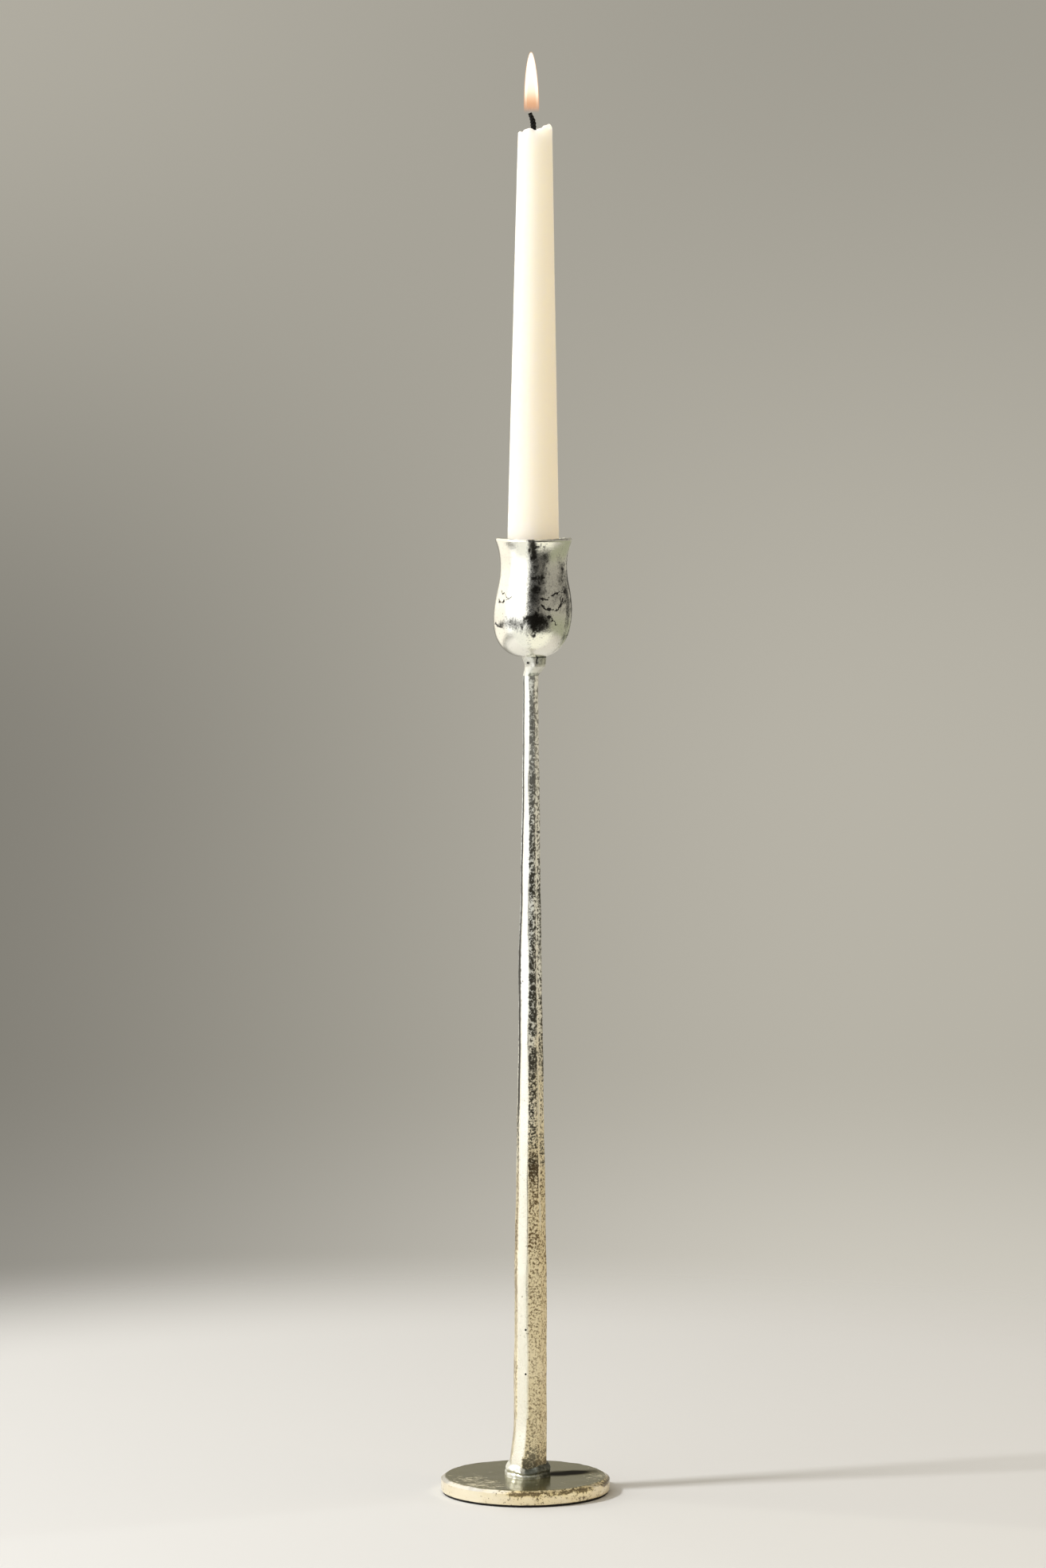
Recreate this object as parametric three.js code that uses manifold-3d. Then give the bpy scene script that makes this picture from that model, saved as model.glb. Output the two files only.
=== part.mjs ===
import * as THREE from "three";
import { mergeVertices } from "three/addons/utils/BufferGeometryUtils.js";
import Module from "manifold-3d";

const wasm = await Module();
wasm.setup();

// Taper candle holder, in millimetres. +Z is up, and the origin is the middle of the foot on the floor.
// A round foot plate carries a forged, hammered stem, and a tulip cup on the stem grips one taper candle.

// Foot
const footDiameter = 76.2;
const footThickness = 6.35;
const footBevelWidth = 2.0;
const footBevelDrop = 1.3;
const footEdgeRound = 0.5;
const padThickness = 1.0;
const padInset = 0.8;

// Stem, with its axis set a little right of the foot's middle, as the hand-made one is
const stemLength = 361.5;
const stemOffset = 2.2;
const stemFootWidth = 14.1;
const stemHeadWidth = 6.5;
const stemParallelLength = 98;
const stemSides = 8;
const stemTurn = THREE.MathUtils.degToRad(12);
const stemEdgeSharpness = 34;
const footSpread = 1.15;
const footSpreadHeight = 27;
const headSpread = 0.3;
const headSpreadHeight = 6;
const hammerDepth = 0.2;
const hammerPitch = 58;
const hammerShortDepth = 0.12;
const hammerShortPitch = 22.3;

// Welds at the foot and the neck
const footWeldWidth = 1.75;
const footWeldHeight = 4.9;
const footWeldLumps = 9;
const footWeldSmallLumps = 5;
const footWeldLumpDepth = 0.3;
const neckWeldHeight = 4.0;
const neckWeldDiameter = 9.1;
const neckWeldLumps = 3;
const neckWeldLumpDepth = 0.16;
const weldGap = 0.3;

// Boss under the cup, with its seam and the blowhole beside it
const bossDiameter = 10.9;
const bossHeight = 4.35;
const bossChamfer = 0.7;
const seamWidth = 0.55;
const seamDepth = 1.1;
const seamOffset = 1.2;
const blowholeDiameter = 0.9;
const blowholeDepth = 1.2;
const blowholeOffset = 2.7;
const blowholeHeight = 1.6;

// Cup
const cupOffset = 3.75;
const cupHeight = 52.85;
const cupWall = 1.5;
const cupFloor = 2.3;
const neckClearance = 0.95;
const neckHeight = 40.4;
const bellySwell = 2.6;
const bellyHeight = 19.5;
const bellySag = 1.1;
const bowlFullness = 2.5;
const lipFlare = 2.2;
const lipRoll = 1.1;
const lipCurve = 2.2;
const cupUnevenness = 0.12;
const rimWave = 0.36;

// Sleeve in the cup that grips the candle, set a little left of the cup's axis
const socketShift = -0.45;
const socketDepth = 22;
const socketWall = 0.8;
const socketFloor = 1.2;
const socketClearance = 0.3;
const socketRoom = 0.3;
const spigotDiameter = 10;

// Candle and wick, with the candle leaning a little to the right in its sleeve
const candleLean = THREE.MathUtils.degToRad(0.26);
const candleDiameter = 22.9;
const candleTipDiameter = 15.2;
const candleLength = 224.2;
const candleStraightLength = 46;
const candleSeatGap = 0.3;
const candleChamfer = 0.8;
const candleRimRound = 0.9;
const candleDishDepth = 2.4;
const candleRimWave = 1.7;
const wickDiameter = 2.3;
const wickClearance = 0.3;
const wickExposed = 7.2;
const wickBend = 2.4;

// Sizes that follow from those above
const footRadius = footDiameter / 2;
const footTop = padThickness + footThickness;
const stemTop = footTop + stemLength;
const bossBottom = stemTop + neckWeldHeight;
const bossRadius = bossDiameter / 2;
const cupBottom = bossBottom + bossHeight;
const candleRadius = candleDiameter / 2;
const socketInnerRadius = candleRadius + socketClearance;
const socketOuterRadius = socketInnerRadius + socketWall;
const neckInnerRadius = socketOuterRadius + neckClearance;
const bellyInnerRadius = neckInnerRadius + bellySwell;
const bowlFlatRadius = bossRadius + bellySag;
const spigotRadius = spigotDiameter / 2;
const wickRadius = wickDiameter / 2;

// How finely round shapes are drawn
const footSegments = 96;
const cupSegments = 48;
const candleSegments = 40;
const bossSegments = 32;
const holeSegments = 12;
const roundSteps = 5;

// Finishes
const leafedIron = { color: 0xc9c5b4, roughness: 0.38, metalness: 0.9 };
const leafedPlate = { color: 0x8d8a72, roughness: 0.3, metalness: 0.9 };
const bareWeld = { color: 0xd4d2c6, roughness: 0.42, metalness: 0.9 };
const darkIron = { color: 0x5a564c, roughness: 0.6, metalness: 0.8 };
const blackFelt = { color: 0x1c1b19, roughness: 0.95, metalness: 0 };
const ivoryWax = { color: 0xf6ecd2, roughness: 0.5, metalness: 0 };
const burntCotton = { color: 0x1b1613, roughness: 0.95, metalness: 0 };

// Merges shared corners and drops the triangles that a lathe leaves flat on its axis.
function closeMesh(geometry) {
  geometry.deleteAttribute("normal");
  geometry.deleteAttribute("uv");
  const merged = mergeVertices(geometry);
  const corners = merged.index.array;
  const kept = [];
  for (let i = 0; i < corners.length; i += 3) {
    const [a, b, c] = [corners[i], corners[i + 1], corners[i + 2]];
    if (a !== b && b !== c && c !== a) kept.push(a, b, c);
  }
  merged.setIndex(kept);
  merged.computeVertexNormals();
  return merged;
}

// Turns a profile of [radius, height] points round the Z axis.
function turned(profile, segments) {
  const points = profile.map(([radius, height]) => new THREE.Vector2(radius, height));
  const geometry = new THREE.LatheGeometry(points, segments);
  geometry.rotateX(Math.PI / 2);
  return closeMesh(geometry);
}

// Moves each corner of a mesh by a function that changes the given vector.
function reshaped(geometry, move) {
  const positions = geometry.attributes.position;
  const corner = new THREE.Vector3();
  for (let i = 0; i < positions.count; i += 1) {
    corner.fromBufferAttribute(positions, i);
    move(corner);
    positions.setXYZ(i, corner.x, corner.y, corner.z);
  }
  geometry.computeVertexNormals();
  return geometry;
}

function meshFromRings(rings, wraps) {
  const around = rings[0].length;
  const corners = rings.flat();
  const faces = [];
  const joins = wraps ? rings.length : rings.length - 1;
  for (let level = 0; level < joins; level += 1) {
    const low = level * around;
    const high = ((level + 1) % rings.length) * around;
    for (let i = 0; i < around; i += 1) {
      const next = (i + 1) % around;
      faces.push(low + i, low + next, high + next);
      faces.push(low + i, high + next, high + i);
    }
  }
  return { corners, faces, around };
}

function geometryOf(corners, faces) {
  const geometry = new THREE.BufferGeometry().setFromPoints(corners);
  geometry.setIndex(faces);
  geometry.computeVertexNormals();
  return geometry;
}

// Skins a stack of rings, counter-clockwise seen from above, and closes both ends.
function lofted(rings) {
  const { corners, faces, around } = meshFromRings(rings, false);
  const middle = (ring) => {
    const sum = ring.reduce((total, corner) => total.add(corner), new THREE.Vector3());
    return sum.divideScalar(around);
  };
  const bottom = corners.push(middle(rings[0])) - 1;
  const top = corners.push(middle(rings[rings.length - 1])) - 1;
  const lastRing = (rings.length - 1) * around;
  for (let i = 0; i < around; i += 1) {
    const next = (i + 1) % around;
    faces.push(bottom, next, i);
    faces.push(top, lastRing + i, lastRing + next);
  }
  return geometryOf(corners, faces);
}

// Skins closed sections that stand round a middle, so the body is a ring.
function ringLofted(sections) {
  const { corners, faces } = meshFromRings(sections, true);
  return geometryOf(corners, faces);
}

function solidFrom(geometry) {
  const closed = closeMesh(geometry.clone());
  const vertProperties = new Float32Array(closed.attributes.position.array);
  const triVerts = new Uint32Array(closed.index.array);
  return new wasm.Manifold(new wasm.Mesh({ numProp: 3, vertProperties, triVerts }));
}

function cutBy(geometry, tools) {
  const rest = tools.reduce((solid, tool) => solid.subtract(solidFrom(tool)), solidFrom(geometry));
  const mesh = rest.getMesh();
  const result = new THREE.BufferGeometry();
  result.setAttribute("position", new THREE.BufferAttribute(mesh.vertProperties, mesh.numProp));
  result.setIndex(new THREE.BufferAttribute(mesh.triVerts, 1));
  result.computeVertexNormals();
  return result;
}

// Profile points on a round of the given size, between two angles from the outward direction.
function arc(middleRadius, middleHeight, size, from, to) {
  const points = [];
  for (let i = 0; i <= roundSteps; i += 1) {
    const angle = THREE.MathUtils.degToRad(from + ((to - from) * i) / roundSteps);
    points.push([middleRadius + size * Math.cos(angle), middleHeight + size * Math.sin(angle)]);
  }
  return points;
}

function piece(name, geometry, finish, x, z) {
  const mesh = new THREE.Mesh(geometry, new THREE.MeshStandardMaterial(finish));
  mesh.name = name;
  mesh.position.set(x, 0, z);
  return mesh;
}

// Foot: a turned plate with a bevelled top edge, on a thin pad

function footPlate() {
  const profile = [
    [0, 0],
    [footRadius - footEdgeRound, 0],
    [footRadius, footEdgeRound],
    [footRadius, footThickness - footBevelDrop],
    [footRadius - footBevelWidth, footThickness],
    [0, footThickness],
  ];
  return turned(profile, footSegments);
}

function footPad() {
  const padRadius = footRadius - padInset;
  const profile = [[0, 0], [padRadius, 0], [padRadius, padThickness], [0, padThickness]];
  return turned(profile, footSegments);
}

// Stem: an eight-sided bar, forged to a taper, whose flats rise and fall with the hammer

function fade(distance, length) {
  return distance >= length ? 0 : (1 + Math.cos((Math.PI * distance) / length)) / 2;
}

function stemReach(height) {
  const tapered = Math.max(0, height - stemParallelLength) / (stemLength - stemParallelLength);
  const reach = THREE.MathUtils.lerp(stemFootWidth, stemHeadWidth, tapered) / 2;
  const atFoot = footSpread * fade(height, footSpreadHeight);
  const atHead = headSpread * fade(stemLength - height, headSpreadHeight);
  return reach + atFoot + atHead;
}

// The foot spreads to the left only, so its middle moves that way.
function stemMiddle(height) {
  return stemOffset - footSpread * fade(height, footSpreadHeight);
}

// Two waves of blows run along each side, each from its own start, so no two sides match.
const hammerStart = 2.4;
const hammerShortStart = 1.7;

function hammerMark(side, height) {
  const long = Math.sin((2 * Math.PI * height) / hammerPitch + hammerStart * side);
  const short = Math.sin((2 * Math.PI * height) / hammerShortPitch + hammerShortStart * side);
  return hammerDepth * long + hammerShortDepth * short;
}

// The rounded polygon that the flats enclose, as a radius at an angle.
function stemRadius(angle, height) {
  let sum = 0;
  for (let side = 0; side < stemSides; side += 1) {
    const facing = Math.cos(angle - stemTurn - (2 * Math.PI * side) / stemSides);
    const flat = stemReach(height) + hammerMark(side, height);
    if (facing > 0) sum += (facing / flat) ** stemEdgeSharpness;
  }
  return sum ** (-1 / stemEdgeSharpness);
}

const stemPointsPerSide = 4;
const stemPoints = stemSides * stemPointsPerSide;
const stemLevels = 61;

// Angles that put a point on each edge of the bar and three across each side.
const stemAngles = Array.from({ length: stemPoints }, (_, i) => (
  stemTurn + (2 * Math.PI * (i + stemPointsPerSide / 2)) / stemPoints
));

function ringAt(angles, x, height, radiusAt) {
  return angles.map((angle) => {
    const radius = radiusAt(angle);
    return new THREE.Vector3(x + radius * Math.cos(angle), radius * Math.sin(angle), height);
  });
}

function stem() {
  const rings = [];
  for (let level = 0; level <= stemLevels; level += 1) {
    const height = (stemLength * level) / stemLevels;
    rings.push(ringAt(stemAngles, stemMiddle(height), height, (angle) => stemRadius(angle, height)));
  }
  return lofted(rings);
}

// Foot weld: a lumpy bead that stands on the plate and follows the stem's sides

const footWeldSections = 40;
// The bead's outer face as shares of its height and width, from the plate up to the stem.
const footWeldFace = [[0, 0.92], [0.22, 1], [0.5, 0.9], [0.78, 0.55], [1, 0.12]];
const footWeldBack = [[1, 0], [0.5, 0], [0, 0]];

function footWeldSection(angle) {
  const lump = Math.sin(footWeldLumps * angle) + 0.5 * Math.sin(footWeldSmallLumps * angle + 1.1);
  const width = footWeldWidth - weldGap + footWeldLumpDepth * lump;
  const height = footWeldHeight + footWeldLumpDepth * Math.sin((footWeldLumps - 2) * angle);
  return [...footWeldFace, ...footWeldBack].map(([up, out]) => {
    const level = up * height;
    const radius = stemRadius(angle, level) + weldGap + out * width;
    const x = stemMiddle(level) + radius * Math.cos(angle);
    return new THREE.Vector3(x, radius * Math.sin(angle), level);
  });
}

function footWeld() {
  const sections = [];
  for (let i = 0; i < footWeldSections; i += 1) {
    sections.push(footWeldSection((-2 * Math.PI * i) / footWeldSections));
  }
  return ringLofted(sections);
}

// Neck weld: the metal that runs from the head of the stem out to the boss

const neckWeldLevels = 6;

function neckWeld() {
  const rings = [];
  for (let level = 0; level <= neckWeldLevels; level += 1) {
    const share = level / neckWeldLevels;
    const lumpDepth = neckWeldLumpDepth * Math.sin(Math.PI * share);
    const x = THREE.MathUtils.lerp(stemOffset, cupOffset, share);
    rings.push(ringAt(stemAngles, x, share * neckWeldHeight, (angle) => {
      const smooth = THREE.MathUtils.lerp(stemRadius(angle, stemLength), neckWeldDiameter / 2, share);
      return smooth + lumpDepth * Math.sin(neckWeldLumps * angle);
    }));
  }
  return lofted(rings);
}

// Boss: a short round stub with a seam cut down its front and a blowhole to the left

function neckBoss() {
  const stub = turned([
    [0, 0],
    [bossRadius - bossChamfer, 0],
    [bossRadius, bossChamfer],
    [bossRadius, bossHeight],
    [0, bossHeight],
  ], bossSegments);
  const seamReach = 2 * seamDepth;
  const seam = new THREE.BoxGeometry(seamWidth, seamReach, 2 * bossHeight);
  const frontAt = (x) => -Math.sqrt(bossRadius ** 2 - x ** 2);
  seam.translate(seamOffset, frontAt(seamOffset) - seamReach / 2 + seamDepth, bossHeight / 2);
  const holeRadius = blowholeDiameter / 2;
  const blowhole = new THREE.CylinderGeometry(holeRadius, holeRadius, 2 * blowholeDepth, holeSegments);
  blowhole.translate(-blowholeOffset, frontAt(blowholeOffset), blowholeHeight);
  return cutBy(stub, [seam, blowhole]);
}

// Cup: a tulip shell with a full bowl, a drawn-in neck and a flared lip rolled over at its edge

const lipRadius = neckInnerRadius + cupWall + lipFlare;
const lipHeight = cupHeight - lipRoll;

// The bowl's wall is a quarter of a full oval that is cut off level at its floor.
function bowlRadius(height, floorHeight, floorRadius, widest) {
  const cutOff = (1 - (floorRadius / widest) ** bowlFullness) ** (1 / bowlFullness);
  const depth = (bellyHeight - floorHeight) / cutOff;
  return widest * (1 - ((bellyHeight - height) / depth) ** bowlFullness) ** (1 / bowlFullness);
}

function wallSwell(height) {
  if (height <= neckHeight) {
    return bellySwell * fade(height - bellyHeight, neckHeight - bellyHeight);
  }
  return lipFlare * ((height - neckHeight) / (lipHeight - neckHeight)) ** lipCurve;
}

const bowlSteps = 8;
const wallSteps = 11;
const lipStartAngle = 30;
const lipEndAngle = 190;

function cupProfile() {
  const outer = [[0, 0]];
  const inner = [[0, cupFloor]];
  for (let i = 0; i <= bowlSteps; i += 1) {
    const share = Math.sin((Math.PI * i) / (2 * bowlSteps)) ** 2;
    const outside = bellyHeight * share;
    const inside = THREE.MathUtils.lerp(cupFloor, bellyHeight, share);
    outer.push([bowlRadius(outside, 0, bowlFlatRadius, bellyInnerRadius + cupWall), outside]);
    inner.push([bowlRadius(inside, cupFloor, bowlFlatRadius, bellyInnerRadius), inside]);
  }
  for (let i = 1; i <= wallSteps; i += 1) {
    const height = THREE.MathUtils.lerp(bellyHeight, lipHeight, i / wallSteps);
    const radius = neckInnerRadius + wallSwell(height);
    outer.push([radius + cupWall, height]);
    if (i < wallSteps) inner.push([radius, height]);
  }
  const lip = arc(lipRadius - lipRoll, lipHeight, lipRoll, lipStartAngle, lipEndAngle);
  return [...outer, ...lip, ...inner.reverse()];
}

// The bowl sags to the left of the neck, the beaten wall is a little uneven between its flat floor and
// its rim, and the rim stands higher at its two sides than at front and back.
function cup() {
  const rimBand = 2 * lipRoll;
  return reshaped(turned(cupProfile(), cupSegments), (corner) => {
    const angle = Math.atan2(corner.y, corner.x);
    const radius = Math.hypot(corner.x, corner.y);
    const rise = THREE.MathUtils.clamp(corner.z / cupHeight, 0, 1);
    const waves = Math.sin(3 * angle + 5 * rise) + 0.6 * Math.sin(5 * angle - 9 * rise);
    const push = cupUnevenness * waves * Math.sin(Math.PI * rise);
    const grown = radius === 0 ? 1 : 1 + push / radius;
    corner.x = corner.x * grown - bellySag * fade(corner.z, neckHeight);
    corner.y *= grown;
    corner.z += rimWave * Math.cos(2 * angle) * fade(cupHeight - corner.z, rimBand);
  });
}

// Sleeve: it stands on a spigot on the cup's floor, as low as the bowl lets it

function socketStand() {
  const needed = socketOuterRadius + bellySag + cupUnevenness + socketRoom;
  const bowlAt = (height) => bowlRadius(height, cupFloor, bowlFlatRadius, bellyInnerRadius);
  const step = 0.1;
  let height = cupFloor;
  while (height < bellyHeight && bowlAt(height) < needed) height += step;
  return height - cupFloor;
}

const socketBottom = cupBottom + cupFloor;
const socketLift = socketStand();
const candleSeat = socketLift + socketFloor;

function candleSocket() {
  const profile = [
    [0, 0],
    [spigotRadius, 0],
    [spigotRadius, socketLift],
    [socketOuterRadius, socketLift],
    [socketOuterRadius, candleSeat + socketDepth],
    [socketInnerRadius, candleSeat + socketDepth],
    [socketInnerRadius, candleSeat],
    [0, candleSeat],
  ];
  return turned(profile, cupSegments);
}

// Candle: straight in the cup, then tapered, with a dished top whose rim has melted unevenly

const boreRadius = wickRadius + wickClearance;
const dishHeight = candleLength - candleDishDepth;
const candleRimEndAngle = 150;

function candle() {
  const tipRadius = candleTipDiameter / 2;
  const rimHeight = candleLength - candleRimRound;
  const profile = [
    [boreRadius, 0],
    [candleRadius - candleChamfer, 0],
    [candleRadius, candleChamfer],
    [candleRadius, candleStraightLength],
    [(candleRadius + tipRadius) / 2, (candleStraightLength + rimHeight) / 2],
    ...arc(tipRadius - candleRimRound, rimHeight, candleRimRound, 0, candleRimEndAngle),
    [(boreRadius + tipRadius) / 2, dishHeight + 0.1 * candleDishDepth],
    [boreRadius, dishHeight],
    [boreRadius, 0],
  ];
  return reshaped(turned(profile, candleSegments), (corner) => {
    const angle = Math.atan2(corner.y, corner.x);
    const wave = Math.cos(angle + 0.2) + 0.15 * Math.sin(3 * angle);
    corner.z += candleRimWave * wave * fade(candleLength - corner.z, candleDishDepth);
  });
}

// Wick: it runs the length of the candle, leaves the dish a little to the left and leans over at its end

const wickLevels = 12;
const wickAngles = Array.from({ length: holeSegments }, (_, i) => (2 * Math.PI * i) / holeSegments);
// How much of the bend lies where the wick leaves the wax, with the rest over its upper half.
const wickLowBend = 0.25;

function wick() {
  const freeLength = candleDishDepth + wickExposed;
  const rings = [ringAt(wickAngles, 0, 0, () => wickRadius)];
  for (let level = 0; level <= wickLevels; level += 1) {
    const share = level / wickLevels;
    const low = THREE.MathUtils.smoothstep(share, 0, 0.4);
    const high = Math.max(0, 2 * share - 1) ** 1.4;
    const shift = -wickBend * THREE.MathUtils.lerp(high, low, wickLowBend);
    rings.push(ringAt(wickAngles, shift, dishHeight + freeLength * share, () => wickRadius));
  }
  return lofted(rings);
}

const group = new THREE.Group();
group.add(piece("foot_pad", footPad(), blackFelt, 0, 0));
group.add(piece("foot_plate", footPlate(), leafedPlate, 0, padThickness));
group.add(piece("foot_weld", footWeld(), bareWeld, 0, footTop));
group.add(piece("stem", stem(), leafedIron, 0, footTop));
group.add(piece("neck_weld", neckWeld(), bareWeld, 0, stemTop));
group.add(piece("neck_boss", neckBoss(), leafedIron, cupOffset, bossBottom));
group.add(piece("cup", cup(), leafedIron, cupOffset, cupBottom));
group.add(piece("candle_socket", candleSocket(), darkIron, cupOffset + socketShift, socketBottom));

const lit = new THREE.Group();
lit.position.set(cupOffset + socketShift, 0, socketBottom + candleSeat + candleSeatGap);
lit.rotation.y = candleLean;
lit.add(piece("candle_wax", candle(), ivoryWax, 0, 0));
lit.add(piece("wick", wick(), burntCotton, 0, 0));
group.add(lit);

export default group;
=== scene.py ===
import math

import bmesh
import bpy
from mathutils import Matrix, Vector, noise


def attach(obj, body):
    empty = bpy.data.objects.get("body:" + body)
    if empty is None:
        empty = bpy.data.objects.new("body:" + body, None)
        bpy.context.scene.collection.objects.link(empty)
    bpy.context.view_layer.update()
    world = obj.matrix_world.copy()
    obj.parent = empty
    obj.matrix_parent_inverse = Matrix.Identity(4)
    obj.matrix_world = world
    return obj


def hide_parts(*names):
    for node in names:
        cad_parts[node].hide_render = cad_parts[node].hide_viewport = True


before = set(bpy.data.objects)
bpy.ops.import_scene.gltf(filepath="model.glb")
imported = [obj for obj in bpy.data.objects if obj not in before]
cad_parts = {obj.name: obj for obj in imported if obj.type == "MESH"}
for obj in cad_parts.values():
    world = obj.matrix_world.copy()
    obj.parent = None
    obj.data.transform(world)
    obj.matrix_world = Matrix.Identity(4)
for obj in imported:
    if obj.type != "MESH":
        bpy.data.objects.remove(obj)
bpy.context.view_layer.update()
print("frame loaded with", len(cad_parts), "nodes")

mm = 0.001  # sizes below are in millimetres unless they say metres
scene = bpy.context.scene


# Small helpers

def linear(hexColour):  # sRGB hex to the linear values that the sockets take
    channels = [int(hexColour[i:i + 2], 16) / 255 for i in (1, 3, 5)]
    return tuple(c / 12.92 if c <= 0.04045 else ((c + 0.055) / 1.055) ** 2.4 for c in channels) + (1.0,)


def scaleOf(size):  # scale of a noise or cell pattern whose marks are this many millimetres across
    return 1000.0 / size


# Empties the node tree of a material or world, and gives the function that adds a node to it. Sockets come in
# order or by name, and each takes a value, a hex colour, a link, or a node that stands for its first output.
def nodeAdder(owner):
    owner.use_nodes = True
    tree = owner.node_tree
    tree.nodes.clear()

    def add(kind, sockets=(), **settings):
        node = tree.nodes.new("ShaderNode" + kind)
        for name, value in settings.items():
            setattr(node, name, value)
        for name, value in sockets.items() if isinstance(sockets, dict) else enumerate(sockets):
            if isinstance(value, str):
                value = linear(value)
            elif isinstance(value, bpy.types.Node):
                value = value.outputs[0]
            if isinstance(value, bpy.types.NodeSocket):
                tree.links.new(value, node.inputs[name])
            else:
                node.inputs[name].default_value = value
        return node

    return add


def newMaterial(name):
    material = bpy.data.materials.new(name)
    return material, nodeAdder(material)


def smoothStep(share):
    share = min(1.0, max(0.0, share))
    return share * share * (3 - 2 * share)


def fade(distance, length):  # 1 at no distance, 0 from this length on
    return 0.0 if distance >= length else (1 + math.cos(math.pi * distance / length)) / 2


def mix(a, b, share):
    return a + (b - a) * share


def along(points, at):  # the value at a place on a line of (place, value) points, eased between them
    for (a0, value0), (a1, value1) in zip(points, points[1:]):
        if at <= a1:
            return mix(value0, value1, smoothStep((at - a0) / (a1 - a0)))
    return points[-1][1]


def rumple(x, y, z, size, seed=0.0):  # smooth noise from -1 to 1 with waves of about this size in mm
    return noise.noise(Vector((x / size + seed, y / size - 2 * seed, z / size + 3 * seed)))


def onRing(middle, radius, angle, z):
    return middle + radius * math.cos(angle), radius * math.sin(angle), z


def pushedOut(x, y, push):  # away from the upright axis
    reach = math.hypot(x, y)
    grown = 1 if reach < 0.01 else 1 + push / reach
    return x * grown, y * grown


def roundedFoot(radius, size, steps):  # the lower edge of a disc's profile, up to where its side begins
    return [(radius - size * (1 - math.sin(turn)), size * (1 - math.cos(turn)))
            for turn in (math.pi / 2 * step / steps for step in range(steps))]


# A line of (radius, height) points in mm, turned full circle about the upright axis.
def spun(profile, steps):
    bm = bmesh.new()
    line = [bm.verts.new((radius * mm, 0, height * mm)) for radius, height in profile]
    edges = [bm.edges.new(pair) for pair in zip(line, line[1:])]
    bmesh.ops.spin(bm, geom=line + edges, axis=(0, 0, 1), angle=2 * math.pi, steps=steps, use_merge=True)
    bmesh.ops.remove_doubles(bm, verts=bm.verts, dist=0.001 * mm)
    bmesh.ops.recalc_face_normals(bm, faces=bm.faces)
    return bm


# A bar of level rings, drawn up from a circle by extruding its top edge, with both ends closed.
def drawnUp(heights, segments, start):
    bm = bmesh.new()
    bmesh.ops.create_circle(bm, cap_ends=True, radius=mm, segments=segments,
                            matrix=Matrix.Translation((0, 0, heights[0] * mm)) @ Matrix.Rotation(start, 4, "Z"))
    edges = list(bm.edges)
    for low, high in zip(heights, heights[1:]):
        made = bmesh.ops.extrude_edge_only(bm, edges=edges)["geom"]
        verts = [part for part in made if isinstance(part, bmesh.types.BMVert)]
        edges = [part for part in made if isinstance(part, bmesh.types.BMEdge)
                 and all(vert in verts for vert in part.verts)]
        bmesh.ops.translate(bm, verts=verts, vec=(0, 0, (high - low) * mm))
    bmesh.ops.contextual_create(bm, geom=edges)
    bmesh.ops.recalc_face_normals(bm, faces=bm.faces)
    return bm


# Gives every corner its place: move takes and returns x, y and z in mm.
def reshape(bm, move):
    for vert in bm.verts:
        vert.co = [c * mm for c in move(*(c / mm for c in vert.co))]


def linkedPiece(bm, name, material):
    mesh = bpy.data.meshes.new(name)
    bm.to_mesh(mesh)
    bm.free()
    mesh.materials.append(material)
    piece = bpy.data.objects.new(name, mesh)
    scene.collection.objects.link(piece)
    return piece


# Wear comes by name, as functions that give from 0 to 1 at a place in mm. The piece's finish reads it.
def finishPiece(bm, name, material, body, node, slot, creaseAngle, **wear):
    bm.normal_update()
    for face in bm.faces:
        face.smooth = True
    for edge in bm.edges:
        edge.smooth = edge.calc_face_angle(0) < math.radians(creaseAngle)
    piece = linkedPiece(bm, name, material)
    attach(piece, body)
    if node:
        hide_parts(node)
    for wearName, wearAt in wear.items():
        values = piece.data.attributes.new(wearName, "FLOAT", "POINT").data
        for vert in piece.data.vertices:
            values[vert.index].value = min(1.0, max(0.0, wearAt(*(c / mm for c in vert.co))))
    print("made", name, "with", len(piece.data.polygons), "faces")
    return piece


# Camera, at the photograph's height and distance

cameraSettings = {
    "place": (-0.001078, -2.376, 0.4735),  # metres
    "lookingDown": 3.695,  # degrees
    "lens": 81.38,
    "sensorHeight": 24.0,
}

cameraData = bpy.data.cameras.new("productCamera")
cameraData.sensor_fit = "VERTICAL"
cameraData.sensor_height = cameraSettings["sensorHeight"]
cameraData.lens = cameraSettings["lens"]
camera = bpy.data.objects.new("productCamera", cameraData)
camera.location = cameraSettings["place"]
camera.rotation_euler = (math.radians(90 - cameraSettings["lookingDown"]), 0, 0)
scene.collection.objects.link(camera)
scene.camera = camera
scene.view_settings.view_transform = "Standard"
print("camera placed")


# Stage: a pale floor that melts into a grey-olive wall, one key light, a tall panel and dark cards

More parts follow.
